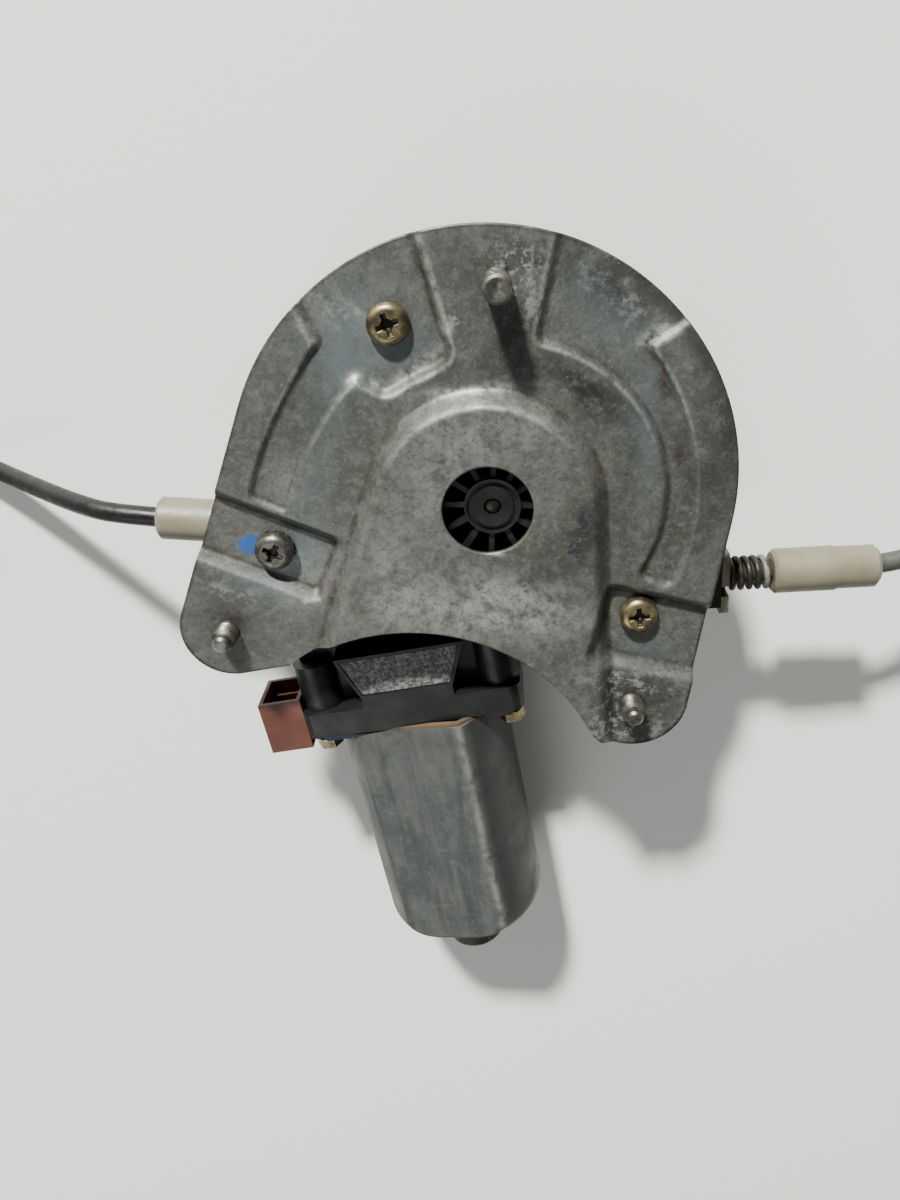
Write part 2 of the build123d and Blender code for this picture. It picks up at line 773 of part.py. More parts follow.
def motor_screw(spot):
    head = RegularPolygon(motor_screw_head_r, 6)
    shape = extrude(motor_plane(flange_seat) * Pos(*spot) * head, motor_screw_head)
    start = flange_seat - motor_screw_length
    return shape + extrude(motor_plane(start) * Pos(*spot) * Circle(motor_screw_r), motor_screw_length)


def magnet(side):
    """Ferrite arc inside one of the can's round sides."""
    half = math.radians(magnet_span / 2)
    reach = 2 * can_r
    corner = (reach * math.cos(half), reach * math.sin(half))
    wedge = make_face(Polyline((0, 0), (corner[0], -corner[1]), corner, close=True))
    arc = (Circle(can_r - can_wall) - Circle(magnet_inner_r)) & wedge
    arc = (Rot(0, 0, can_turn + side) * arc) & can_outline(can_wall)
    return extrude(motor_plane(core_start - magnet_overhang) * arc, core_length + 2 * magnet_overhang)


def bush(start, outer):
    return tube(outer, shaft_r + fit_gap, bush_length, motor_plane(start))


def can_end_bush():
    return bush(can_end, pot_r - can_wall)


def brush_card():
    """Moulded plate in the can's mouth that carries the two brush boxes."""
    shape = extrude(motor_plane(card_start) * can_outline(can_wall), card_thick)
    width = brush[1] + 2 * brush_box_wall
    box = Rectangle(2 * brush_box_reach, width)
    floor = card_start + card_thick
    shape += extrude(motor_plane(floor) * Rot(0, 0, brush_turn) * box, brush[2] + brush_box_wall)
    channel = Rectangle(2 * (brush_box_reach - brush_box_wall), brush[1])
    shape -= extrude(motor_plane(floor) * Rot(0, 0, brush_turn) * channel, brush[2])
    clear = commutator_r + 1.5
    return shape - extrude(motor_plane(card_start) * Circle(clear), card_thick + brush[2] + brush_box_wall)


def brush_block(side):
    start = commutator_r + fit_gap
    block = Rot(0, 0, brush_turn + side) * Pos(start + brush[0] / 2, 0) * Rectangle(brush[0], brush[1])
    return extrude(motor_plane(card_start + card_thick) * block, brush[2])


def brush_spring(side):
    """Coil spring behind a brush, as its closed-up tube."""
    start = commutator_r + fit_gap + brush[0]
    length = brush_box_reach - brush_box_wall - start
    middle = motor_plane(card_start + card_thick + brush[2] / 2)
    outer, inner = brush_spring_r
    spring = Cylinder(outer, length) - Cylinder(inner, length)
    beside_shaft = middle.location * Rot(0, 0, brush_turn + side) * Pos(start + length / 2, 0, 0)
    return beside_shaft * Rot(0, 90, 0) * spring


def motor_z_plane(level):
    """Level plane whose local x runs to the motor's side and local y along its axis, reversed."""
    return Plane(side_dir * -worm_offset + Vector(0, 0, level), x_dir=side_dir, z_dir=(0, 0, 1))


def beside_motor(corners):
    """Flat outline from corners given as side and distance along the motor's axis."""
    return make_face(Polyline(*[(side, -along) for side, along in corners], close=True))


def connector_outline(inset, level):
    outer = -flange_half - socket_width + inset
    return motor_z_plane(level) * beside_motor([
        (outer, socket_start + inset), (-flange_half - inset, socket_start + inset),
        (-flange_half - inset, socket_end - inset), (outer, socket_end - inset)])


def connector_shell():
    """Box on the side of the motor flange, open towards the plate."""
    shape = extrude(connector_outline(0, socket_bottom), socket_top - socket_bottom)
    middle = (socket_top + socket_bottom) / 2 - motor_z
    side = -flange_half - socket_width / 2
    room = Rectangle(socket_width - 2 * socket_wall, socket_top - socket_bottom - 2 * socket_wall)
    shape -= extrude(motor_plane(socket_start) * Pos(side, middle) * room, socket_depth)
    for place in (-blade_pitch / 2, blade_pitch / 2):
        slit = Pos(side, middle + place) * Rectangle(blade[0], blade[1])
        shape -= extrude(motor_plane(socket_start + socket_depth) * slit, blade_root)
    return shape


def terminal(place):
    middle = (socket_top + socket_bottom) / 2 - motor_z
    side = -flange_half - socket_width / 2
    start = socket_start + socket_depth - blade[2]
    outline = Pos(side, middle + place) * Rectangle(blade[0], blade[1])
    return extrude(motor_plane(start) * outline, blade[2] + blade_root)


def spur(place, width, low, high):
    """Upright web from the drum's axis to a boss."""
    length = math.hypot(*place)
    turn = math.degrees(math.atan2(place[1], place[0]))
    outline = Rot(0, 0, turn) * Pos(length / 2, 0) * Rectangle(length, width)
    return extrude(Plane.XY.offset(low) * outline, high - low)


def boss_seats():
    """Each boss under the plate: its place, top, hole radius and hole depth."""
    pad_under = -pad_depth - sheet
    seats = [(screw_top, -band_depth - sheet, screw_r, screw_length)]
    seats += [(place, pad_under, screw_r, screw_length) for place in (screw_left, screw_right)]
    under_head = -sheet - stud_head
    return seats + [(place, under_head, stud_r, stud_root) for place in stud_places.values()]


def motor_neck():
    """Open-backed deck that joins the gear cup to the motor flange, with the worm's tunnel inside."""
    top = motor_z + flange_half_height - neck_drop
    bottom = motor_z - flange_half_height + neck_inset
    half = flange_half - neck_inset
    corners = [(-tunnel_r - wall - 2, 0), (-half, screw_barrel_start - 2), (-half, flange_start + 2),
               (half, flange_start + 2), (half, screw_barrel_start / 2), (tunnel_r + wall, 0)]
    outer = beside_motor(corners)
    shape = extrude(motor_z_plane(bottom) * outer, top - bottom)
    shape -= extrude(motor_z_plane(bottom - 1) * offset(outer, -wall), top - bottom - wall + 1)
    return shape + tube(tunnel_r + wall, 0, flange_a + tunnel_end, motor_plane(-tunnel_end))


def motor_flange():
    """Block that the motor is screwed to, its four screw barrels and the recessed deck on top."""
    block = RectangleRounded(2 * flange_half, 2 * flange_half_height, flange_corner_r)
    shape = extrude(motor_plane(flange_start) * block, flange_a - flange_start)
    for side, up in motor_screw_spots():
        barrel = Pos(math.copysign(flange_half - screw_barrel_r, side), up) * Circle(screw_barrel_r)
        shape += extrude(motor_plane(screw_barrel_start) * barrel, flange_a - screw_barrel_start)
    top = motor_z + flange_half_height
    wide, narrow = deck_half
    panel = beside_motor([(-wide, deck_start), (wide, deck_start), (narrow, deck_end), (-narrow, deck_end)])
    behind = deck_end - 1
    foot = beside_motor([(-narrow, behind), (narrow, behind), (narrow, flange_a), (-narrow, flange_a)])
    shape += extrude(motor_z_plane(top - neck_drop - wall) * (panel + foot), neck_drop + wall)
    return shape - extrude(motor_z_plane(top - deck_recess) * offset(panel, -deck_rim), deck_recess + 1)


def cable_arm(plane):
    middle = Pos(0, (arm_rise - arm_drop) / 2)
    return extrude(plane * middle * Rectangle(arm_width, arm_rise + arm_drop), arm_length)


def gear_housing():
    """One moulding: gear and drum rooms, worm tunnel, motor flange, bosses and cable arms."""
    floor_low = floor_top - floor_wall
    pad_under = -pad_depth - sheet
    cup = post((0, 0), housing_r, back_z, -sheet)
    shape = chamfer(cup.edges().sort_by(Axis.Z)[-1], rim_chamfer) + motor_neck() + motor_flange()
    shape += cable_arm(left_plane(ferrule_length)) + cable_arm(right_plane(-arm_length))
    for place, top, radius, depth in boss_seats():
        shape += post(place, boss_r, top - boss_length, top)
        shape += spur(place, spur_width, pad_under - boss_length, pad_under - running_gap)
    shape -= post((0, 0), room_r, floor_top, edge_overrun)
    shape -= post((0, 0), room_r + ledge, ledge_z, edge_overrun)
    shape -= post((0, 0), room_r, back_z - 1, floor_low)
    shape += post((0, 0), back_hub_r, back_z, floor_low)
    for turn in range(back_ribs):
        rib = Rot(0, 0, 360 / back_ribs * (turn + 0.5)) * Pos(room_r / 2, 0) * Rectangle(room_r + 1, back_rib)
        shape += extrude(Plane.XY.offset(back_z) * rib, floor_low - back_z)
    shape -= tube(tunnel_r, 0, flange_a + worm_room_end + 1, motor_plane(-worm_room_end))
    shape -= tube(rear_bush_r, 0, bush_length + 1, motor_plane(-worm_room_end - bush_length))
    shape -= tube(ball_r + fit_gap, 0, tunnel_end - wall, motor_plane(-tunnel_end + wall))
    shape -= extrude(motor_plane(flange_a - flange_pocket) * can_outline(can_wall + 3), flange_pocket + 1)
    shape -= post((0, 0), axle_r, floor_top - axle_root, 0)
    for place, top, radius, depth in boss_seats():
        shape -= post(place, radius, top - depth, top + 1)
    shape -= screw_holes(flange_seat - motor_screw_length, motor_screw_length, motor_screw_r)
    for side, mouth in (("left", left_plane(ferrule_length + 1)), ("right", right_plane(-1))):
        shape -= along_path(wire_path(side, place_on(mouth)), channel_r)
    shape -= extrude(left_plane(ferrule_length) * Circle(spigot_r), spigot_length)
    return shape - extrude(right_plane(-spigot_length) * Circle(spigot_r), spigot_length)


def left_ferrule():
    """Moulded sleeve that holds the left conduit, with a spigot in the housing's arm."""
    shape = extrude(left_plane(0) * Circle(ferrule_r), ferrule_length)
    shape = chamfer(shape.edges().group_by(Axis.X)[0], 0.8)
    shape += extrude(left_plane(ferrule_length) * Circle(spigot_r), spigot_length)
    shape -= extrude(left_plane(-1) * Circle(conduit_r + fit_gap), conduit_seat + 1)
    return shape - extrude(left_plane(conduit_seat) * Circle(wire_bore_r), ferrule_length + spigot_length)


def right_seat():
    """Flange and guide tube that the tension spring works on, with a spigot in the housing's arm."""
    width, height, thick = seat_flange
    slot, slot_side, slot_floor = seat_slot
    outline = Pos(seat_flange_shift, 0) * RectangleRounded(width, height, seat_corner_r)
    outline -= Pos(slot_side, slot_floor + height / 2) * Rectangle(slot, height)
    shape = extrude(right_plane(0) * outline, thick)
    shape += extrude(right_plane(-spigot_length) * Circle(spigot_r), spigot_length)
    shape += extrude(right_plane(thick) * Circle(guide_r), spring_length + guide_reach)
    return shape - extrude(right_plane(-spigot_length - 1) * Circle(wire_bore_r), 4 * arm_width)


def tension_spring():
    """Open coil between the seat's flange and the adjuster, its last wire touching each."""
    rise = spring_length - 2 * spring_wire_r
    helix = Helix(rise / spring_turns, rise, spring_r)
    coil = sweep(Plane(helix @ 0, z_dir=helix % 0) * Circle(spring_wire_r), path=helix, is_frenet=True)
    return right_plane(seat_flange[2] + spring_wire_r).location * coil


def adjuster():
    """Sleeve that slides on the guide tube and holds the right conduit."""
    start = seat_flange[2] + spring_length
    shape = extrude(right_plane(start) * Circle(adjuster_r), adjuster_step)
    shape += extrude(right_plane(start) * Circle(adjuster_tail_r), adjuster_length)
    shape = chamfer(shape.edges().group_by(Axis.X)[-1], 1.0)
    shape = chamfer(shape.edges().group_by(Axis.X)[0], 0.8)
    end = start + adjuster_length
    shape -= extrude(right_plane(start - 1) * Circle(adjuster_bore_r), adjuster_bore + 1)
    shape -= extrude(right_plane(start) * Circle(wire_bore_r), adjuster_length)
    shape -= extrude(right_plane(end - conduit_hold) * Circle(conduit_r + fit_gap), conduit_hold + 1)
    flare_r, flare_depth = mouth_flare
    flare = loft([right_plane(end - flare_depth) * Circle(conduit_r), right_plane(end) * Circle(flare_r)])
    return shape - flare


def run_radii(points):
    """Radius at each inner point: 0.45 of the shorter run, over the tangent of half the turn."""
    radii = []
    for before, here, after in zip(points, points[1:], points[2:]):
        first, second = Vector(*here) - Vector(*before), Vector(*after) - Vector(*here)
        half = math.radians(first.get_angle(second) / 2)
        radii.append(0.45 * min(first.length, second.length) / math.tan(half))
    return radii


def run_tube(points, radius):
    """Tube along straight runs joined by tangent arcs."""
    radii = run_radii(points)
    path = FilletPolyline(*points, radius=radii)
    shape = along_path(path, radius)
    share = shape.volume / (math.pi * radius ** 2 * path.length)
    print("run", round(path.length, 1), "tightest", round(min(radii), 1), "volume share", round(share, 4))
    return shape


def coil_middle(route, way):
    """Centre of the coil that a route runs into; way is 1 for a coil that turns left."""
    (x0, y0, z0), (x1, y1, z1) = route[-2:]
    length = math.hypot(x1 - x0, y1 - y0)
    return (x1 - way * (y1 - y0) / length * coil_r, y1 + way * (x1 - x0) / length * coil_r)


def coil(route, way):
    """Outer shape of the coiled conduit: its turns lie on each other."""
    centre = coil_middle(route, way)
    rise = (coil_layers - 1) * 2 * conduit_r
    profile = Pos(coil_r, rise / 2) * SlotOverall(rise + 2 * conduit_r, 2 * conduit_r, rotation=90)
    return Pos(*centre, lying_z) * revolve(Plane.XZ * profile, Axis.Z)


def coil_tie(route, way, turn):
    """Flat band round the coil's section."""
    centre = coil_middle(route, way)
    rise = (coil_layers - 1) * 2 * conduit_r
    outer = SlotOverall(rise + 2 * conduit_r + 2 * tie_wall, 2 * conduit_r + 2 * tie_wall, rotation=90)
    inner = SlotOverall(rise + 2 * conduit_r, 2 * conduit_r, rotation=90)
    band = Plane.XZ * Pos(coil_r, rise / 2) * (outer - inner)
    arc = math.degrees(tie_width / coil_r)
    return Pos(*centre, lying_z) * Rot(0, 0, turn) * revolve(band, Axis.Z, revolution_arc=arc)


def tail_points(route, way, turn):
    """From the coil's top layer down to the surface, leaving the coil along its tangent."""
    centre = coil_middle(route, way)
    rise = (coil_layers - 1) * 2 * conduit_r
    low = end_cap_r - conduit_r - 0.3
    start = polar(coil_r, turn, centre)
    points = []
    for along, aside, height in ((0, 0, rise), (14, 0.6, rise - 1.0), (27, 2.8, low), (36, 5.6, low)):
        forward = polar(along, turn + way * 90, start)
        points.append((*polar(aside, turn, forward), lying_z + height))
    return points


def end_plane(points, along):
    """Plane square to the last run of a tail, a distance beyond its end."""
    last = Vector(*points[-1])
    way = (last - Vector(*points[-2])).normalized()
    return Plane(last + way * along, z_dir=way)


def end_cap(points):
    cap = extrude(end_plane(points, 0) * Circle(end_cap_r), end_cap_length)
    return chamfer(cap.edges().filter_by(GeomType.CIRCLE), 0.7)


def wire_end(points):
    """Inner wire that comes out of the end cap, with its cast nipple."""
    wire = extrude(end_plane(points, end_cap_length) * Circle(wire_r), end_wire)
    return wire + extrude(end_plane(points, end_cap_length + end_wire) * Circle(nipple_r), nipple_length)


def cords():
    """Each free conduit as its run, its coil with a tie, its tail, the end cap and the inner wire."""
    pieces = {}
    plans = {
        "left": (left_route, 1, left_coil_out, left_tie_turn),
        "right": (right_route, -1, right_coil_out, right_tie_turn),
    }
    for side, (route, way, out, tie) in plans.items():
        points = tail_points(route, way, out)
        pieces["conduit_" + side] = run_tube(route, conduit_r)
        pieces["coil_" + side] = coil(route, way)
        pieces["coil_tie_" + side] = coil_tie(route, way, tie)
        pieces["tail_" + side] = run_tube(points, conduit_r)
        pieces["end_cap_" + side] = end_cap(points)
        pieces["wire_end_" + side] = wire_end(points)
    return pieces


def drive_pieces():
    """Drum, worm gear and motor."""
    pieces = {
        "cable_drum": cable_drum(),
        "cable_winding": cable_winding(),
        "drum_axle": drum_axle(),
        "worm_wheel": worm_wheel(),
        "damper": damper(),
        "worm": worm(),
        "thrust_ball": thrust_ball(),
        "rear_bush": bush(-worm_room_end - bush_length, rear_bush_r),
        "front_bush": bush(front_bush_start, tunnel_r),
        "armature_shaft": armature_shaft(),
        "armature_core": armature_core(),
        "armature_winding": armature_winding(),
        "commutator": commutator(),
        "can_end_bush": can_end_bush(),
        "motor_can": motor_can(),
        "motor_gasket": motor_gasket(),
        "brush_card": brush_card(),
    }
    for number, turn in enumerate((0, 180), start=1):
        pieces[f"magnet_{number}"] = magnet(turn)
        pieces[f"brush_{number}"] = brush_block(turn)
        pieces[f"brush_spring_{number}"] = brush_spring(turn)
    for number, spot in enumerate(motor_screw_spots(), start=1):
        pieces[f"motor_screw_{number}"] = motor_screw(spot)
    return pieces


def housing_pieces():
    """Cover plate with its studs and screws, housing, connector and cable fittings."""
    pieces = {
        "cover_plate": cover_plate(),
        "gear_housing": gear_housing(),
        "gear_cover": gear_cover(),
        "cover_screw_top": cover_screw(screw_top, -band_depth),
        "cover_screw_left": cover_screw(screw_left, washer - pad_depth),
        "cover_screw_right": cover_screw(screw_right, -pad_depth),
        "star_washer": star_washer(),
        "connector_shell": connector_shell(),
        "terminal_1": terminal(-blade_pitch / 2),
        "terminal_2": terminal(blade_pitch / 2),
        "left_ferrule": left_ferrule(),
        "right_seat": right_seat(),
        "tension_spring": tension_spring(),
        "adjuster": adjuster(),
        "inner_wire_left": inner_wire("left"),
        "inner_wire_right": inner_wire("right"),
    }
    for name in stud_places:
        pieces[name] = stud(name)
    return pieces


if __name__ == "__main__":
    os.makedirs("parts", exist_ok=True)
    for name, shape in {**housing_pieces(), **drive_pieces(), **cords()}.items():
        export_step(shape, f"parts/{name}.step")
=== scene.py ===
import json
import math
import bmesh
import bpy
import numpy as np
from mathutils import Matrix, Vector


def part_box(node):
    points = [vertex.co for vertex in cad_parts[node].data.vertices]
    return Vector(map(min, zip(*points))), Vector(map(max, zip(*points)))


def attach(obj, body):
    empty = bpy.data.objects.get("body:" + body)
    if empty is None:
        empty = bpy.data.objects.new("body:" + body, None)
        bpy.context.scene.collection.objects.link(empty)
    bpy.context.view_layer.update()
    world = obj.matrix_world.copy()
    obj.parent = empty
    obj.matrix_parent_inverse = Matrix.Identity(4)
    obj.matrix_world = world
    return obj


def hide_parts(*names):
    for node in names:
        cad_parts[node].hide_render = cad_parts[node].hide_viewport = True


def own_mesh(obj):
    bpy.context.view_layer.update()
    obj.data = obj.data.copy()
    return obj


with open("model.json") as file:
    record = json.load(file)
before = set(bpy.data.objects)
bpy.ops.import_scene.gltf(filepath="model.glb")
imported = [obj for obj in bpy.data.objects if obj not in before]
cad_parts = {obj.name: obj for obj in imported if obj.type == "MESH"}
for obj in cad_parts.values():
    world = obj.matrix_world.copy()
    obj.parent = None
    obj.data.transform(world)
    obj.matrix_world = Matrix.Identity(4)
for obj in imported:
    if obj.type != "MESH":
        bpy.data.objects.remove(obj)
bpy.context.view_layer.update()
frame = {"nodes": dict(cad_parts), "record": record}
mm = 0.001
print("stage: frame loaded")


def placed(name, data):
    # New object in the scene that shows a mesh, curve, camera or light
    thing = bpy.data.objects.new(name, data)
    bpy.context.scene.collection.objects.link(thing)
    return thing


# Camera: held above the table, looking down and a little up the object

cameraPlace = Vector((-0.00156, 0.07408, 0.2059))
cameraRight = Vector((0.99918, 0.0, -0.0404))
cameraUp = Vector((-0.0175, 0.9012, -0.4330))
cameraData = bpy.data.cameras.new("camera")
cameraData.sensor_fit = "VERTICAL"
cameraData.sensor_height = 36.0
cameraData.lens = 28.08
cameraData.clip_start = 0.01
camera = placed("camera", cameraData)
back = cameraRight.cross(cameraUp).normalized()
side = cameraUp.cross(back).normalized()
turn = Matrix((side, back.cross(side), back)).transposed().to_4x4()
camera.matrix_world = Matrix.Translation(cameraPlace) @ turn
bpy.context.scene.camera = camera


# Helpers for materials

class Finish:
    # A material with short calls for its nodes; every pattern reads Object coordinates or a point attribute

    def __init__(self, name, colour, roughness, metallic=0.0, specular=0.5):
        self.material = bpy.data.materials.new(name)
        self.material.use_nodes = True
        self.nodes = self.material.node_tree.nodes
        self.links = self.material.node_tree.links
        self.shader = self.nodes["Principled BSDF"]
        self.shader.inputs["Base Color"].default_value = (*colour, 1)
        self.shader.inputs["Roughness"].default_value = roughness
        self.shader.inputs["Metallic"].default_value = metallic
        self.shader.inputs["Specular IOR Level"].default_value = specular
        self.base = colour
        self.colour = None
        self.height = None

    def add(self, kind, **values):
        node = self.nodes.new(kind)
        for key, value in values.items():
            if key in node.inputs:
                node.inputs[key].default_value = value
            else:
                setattr(node, key, value)
        return node

    def place(self, stretch=(1, 1, 1), turn=0.0):
        # Object coordinates seen from axes turned about Z, then stretched
        mapping = self.add("ShaderNodeMapping", vector_type="TEXTURE")
        mapping.inputs["Scale"].default_value = [1 / value for value in stretch]
        mapping.inputs["Rotation"].default_value = (0, 0, math.radians(turn))
        self.links.new(self.add("ShaderNodeTexCoord").outputs["Object"], mapping.inputs["Vector"])
        return mapping.outputs["Vector"]

    def measured(self, way, shift=0.0):
        # Distance along a direction from the object's origin, plus a shift, in metres
        dot = self.add("ShaderNodeVectorMath", operation="DOT_PRODUCT")
        dot.inputs[1].default_value = way
        self.links.new(self.add("ShaderNodeTexCoord").outputs["Object"], dot.inputs[0])
        return self.worked("ADD", dot.outputs["Value"], shift)

    def worked(self, operation, *values):
        # One step of arithmetic on sockets and plain numbers
        node = self.add("ShaderNodeMath", operation=operation)
        for socket, value in zip(node.inputs, values):
            if isinstance(value, float):
                socket.default_value = value
            else:
                self.links.new(value, socket)
        return node.outputs[0]

    def noise(self, scale, detail=4.0, rough=0.55, stretch=(1, 1, 1), turn=0.0):
        node = self.add("ShaderNodeTexNoise", Scale=scale, Detail=detail, Roughness=rough)
        self.links.new(self.place(stretch, turn), node.inputs["Vector"])
        return node.outputs["Fac"]

    def band(self, value, low, high, start=0.0, end=1.0):
        node = self.add("ShaderNodeMapRange")
        for key, number in (("From Min", low), ("From Max", high), ("To Min", start), ("To Max", end)):
            node.inputs[key].default_value = number
        self.links.new(value, node.inputs["Value"])
        return node.outputs["Result"]

    def times(self, first, second):
        return self.worked("MULTIPLY", first, second)

    def attribute(self, name, low=0.0, high=1.0):
        node = self.add("ShaderNodeAttribute")
        node.attribute_name = name
        return self.band(node.outputs["Fac"], low, high)

    def tint(self, amount, colour):
        # Mixes a colour over the base colour so far
        mix = self.add("ShaderNodeMix", data_type="RGBA")
        mix.inputs[6].default_value = (*self.base, 1)
        mix.inputs[7].default_value = (*colour, 1)
        if self.colour is not None:
            self.links.new(self.colour, mix.inputs[6])
        self.links.new(amount, mix.inputs[0])
        self.colour = mix.outputs[2]
        self.links.new(self.colour, self.shader.inputs["Base Color"])

    def mottle(self, colour, grain, low, high, least=0.0, most=1.0, within=None, **laid):
        # Tints where a noise of scale, detail and roughness rises from low to high, within a point attribute
        amount = self.band(self.noise(*grain, **laid), low, high, least, most)
        if within is not None:
            amount = self.times(self.attribute(within), amount)
        self.tint(amount, colour)

    def rough(self, value, low, high):
        self.links.new(self.band(value, 0.3, 0.7, low, high), self.shader.inputs["Roughness"])

    def bump(self, value, distance, strength=1.0):
        node = self.add("ShaderNodeBump", Strength=strength, Distance=distance)
        self.links.new(value, node.inputs["Height"])
        if self.height is not None:
            self.links.new(self.height, node.inputs["Normal"])
        self.height = node.outputs["Normal"]
        self.links.new(self.height, self.shader.inputs["Normal"])


# Motor's place: its axis runs level beside the worm wheel; distances along it start at the wheel's centre line

motor = {"turn": 11.2, "offset": 32.1, "height": -25.0}
motorTurn = math.radians(motor["turn"])
motorWay = (math.sin(motorTurn), -math.cos(motorTurn), 0.0)
sideWay = (math.cos(motorTurn), math.sin(motorTurn), 0.0)
deck = {
    "start": 38.0, "end": 50.6, "halfWidth": (17.4, 12.4), "top": -7.0, "rim": 0.9, "soft": 0.2, "below": 1.0,
}


# Materials

def galvanised():
    # Old zinc: cool grey clouds, a close speckle, dirt, darker and paler patches, chalky areas, chips, and worn
    # edges with painted highlights where steps face the light
    finish = Finish("galvanised_plate", (0.077, 0.083, 0.075), 0.48, 0.35)
    finish.mottle((0.045, 0.048, 0.04), (34, 6, 0.68), 0.42, 0.6, most=0.85)
    finish.mottle((0.088, 0.078, 0.058), (55, 5, 0.7), 0.55, 0.7, most=0.6, turn=30)
    finish.mottle((0.115, 0.121, 0.108), (330, 5, 0.7), 0.46, 0.62, most=0.6)
    finish.mottle((0.225, 0.232, 0.207), (170, 7, 0.78), 0.4, 0.56, within="pale")
    finish.mottle((0.03, 0.032, 0.026), (470, 5, 0.75), 0.54, 0.66, most=0.6)
    finish.mottle((0.036, 0.038, 0.032), (1100, 4, 0.7), 0.52, 0.62, most=0.45)
    finish.mottle((0.15, 0.156, 0.14), (850, 4, 0.7), 0.54, 0.64, most=0.4, turn=50)
    finish.mottle((0.088, 0.112, 0.118), (70, 5, 0.7), 0.3, 0.6, within="cool")
    finish.mottle((0.018, 0.02, 0.018), (210, 7, 0.8), 0.38, 0.54, within="dark")
    finish.mottle((0.026, 0.02, 0.013), (260, 6, 0.75), 0.36, 0.56, within="dirt_and_shade")
    finish.mottle((0.26, 0.275, 0.275), (330, 6, 0.75), 0.5, 0.58, within="chalk")
    chips = finish.band(finish.times(finish.attribute("chips"), finish.noise(1000, 4, 0.6, turn=15)), 0.45, 0.5)
    finish.tint(chips, (0.02, 0.022, 0.028))
    finish.mottle((0.03, 0.031, 0.029), (210, 6, 0.7), 0.3, 0.62, within="scuffed")
    finish.mottle((0.4, 0.41, 0.38), (1300, 2, 0.5), 0.7, 0.77, most=0.3)
    # Bright metal: worn edges and spots, and painted highlights on steps and edges that face the light
    finish.mottle((0.33, 0.335, 0.3), (300, 5, 0.7), 0.38, 0.56, within="wear_and_highlight")
    paint = finish.times(finish.attribute("blue", 0.3, 0.42), finish.band(finish.noise(420, 4), 0.32, 0.42))
    finish.tint(paint, (0.02, 0.085, 0.27))
    finish.rough(finish.noise(120, 5, 0.7), 0.38, 0.62)
    finish.bump(finish.noise(60, 4), 0.0007, 0.35)
    finish.bump(finish.noise(700, 4, 0.7), 0.00012, 0.5)
    return finish.material


def moulding(name, colour, roughness, mottle, grain=0.00006, specular=0.5):
    # Moulded plastic: a slight mottle, uneven gloss and a fine grain
    finish = Finish(name, colour, roughness, 0.0, specular)
    finish.mottle(mottle, (70, 5, 0.65), 0.42, 0.66)
    finish.rough(finish.noise(160, 4), roughness - 0.08, roughness + 0.12)
    finish.bump(finish.noise(1300, 3), grain, 0.6)
    return finish.material


def housingPlastic():
    # Black moulding whose raised deck panel beside the motor is grey and grainy
    finish = Finish("black_moulding", (0.005, 0.0055, 0.0052), 0.42, 0.0, 0.3)
    finish.mottle((0.011, 0.011, 0.0105), (70, 5, 0.65), 0.42, 0.66)
    finish.rough(finish.noise(160, 4), 0.3, 0.52)
    along = finish.measured(motorWay)
    aside = finish.worked("ABSOLUTE", finish.measured(sideWay, motor["offset"] * mm))
    # beyond = distance to the side - half width, which shrinks evenly along the panel; negative on the panel
    wide, narrow = deck["halfWidth"]
    slope = (wide - narrow) / (deck["end"] - deck["start"])
    taper = finish.measured([value * slope for value in motorWay], -(wide + deck["start"] * slope) * mm)
    beyond = finish.worked("ADD", taper, aside)
    rim, soft = deck["rim"] * mm, deck["soft"] * mm
    start, end, top = deck["start"] * mm + rim, deck["end"] * mm - rim, deck["top"] * mm - deck["below"] * mm
    panel = finish.band(beyond, -rim - soft, -rim, 1.0, 0.0)
    for value, low, high in ((along, start, start + soft), (along, end, end - soft),
                             (finish.measured((0, 0, 1)), top - soft, top)):
        panel = finish.times(panel, finish.band(value, low, high))
    finish.tint(panel, (0.07, 0.07, 0.068))
    finish.tint(finish.times(panel, finish.band(finish.noise(700, 3, 0.6), 0.45, 0.6)), (0.19, 0.19, 0.187))
    finish.bump(finish.noise(1300, 3), 0.00008, 0.6)
    finish.bump(finish.times(panel, finish.noise(1000, 2)), 0.0005, 0.9)
    return finish.material


def agedNylon(name, colour, stain):
    # Off-white plastic with brownish stains and grey grime
    finish = Finish(name, colour, 0.42)
    finish.shader.inputs["Subsurface Weight"].default_value = 0.15
    finish.shader.inputs["Subsurface Radius"].default_value = (0.002, 0.0016, 0.001)
    finish.mottle(stain, (90, 5, 0.6), 0.42, 0.64, most=0.8)
    finish.mottle((0.12, 0.10, 0.075), (420, 4, 0.7), 0.62, 0.74, most=0.5)
    # Grease and painted shade from a point attribute, given on the guide tube inside the spring
    finish.tint(finish.attribute("dirt_and_shade"), (0.042, 0.036, 0.026))
    finish.rough(finish.noise(200, 4), 0.36, 0.56)
    finish.bump(finish.noise(500, 4), 0.00008, 0.5)
    return finish.material


def plated(name, colour, roughness, dull, metallic=0.9):
    # Plated or bare metal: bright areas between duller, rougher ones
    finish = Finish(name, colour, roughness, metallic)
    finish.mottle(dull, (350, 5, 0.7), 0.4, 0.62)
    # Darkening from a point attribute: rust on the axle, the studs' darker thread grooves, and dirt with painted
    # shade in the screws' cross recesses
    finish.tint(finish.attribute("dirt_and_shade"), (0.03, 0.026, 0.02))
    finish.rough(finish.noise(500, 4), roughness - 0.06, roughness + 0.16)
    finish.bump(finish.noise(1500, 2), 0.00003, 0.5)
    return finish.material


def springWire():
    # Dark drawn wire, with grease and light grey grime on its last turn
    finish = Finish("spring_steel", (0.012, 0.01, 0.007), 0.55, 0.1, 0.35)
    finish.mottle((0.045, 0.037, 0.026), (500, 4), 0.48, 0.66, most=0.6)
    finish.mottle((0.14, 0.14, 0.128), (600, 4), 0.3, 0.5, within="pale")
    finish.rough(finish.noise(600, 3), 0.35, 0.55)
    return finish.material


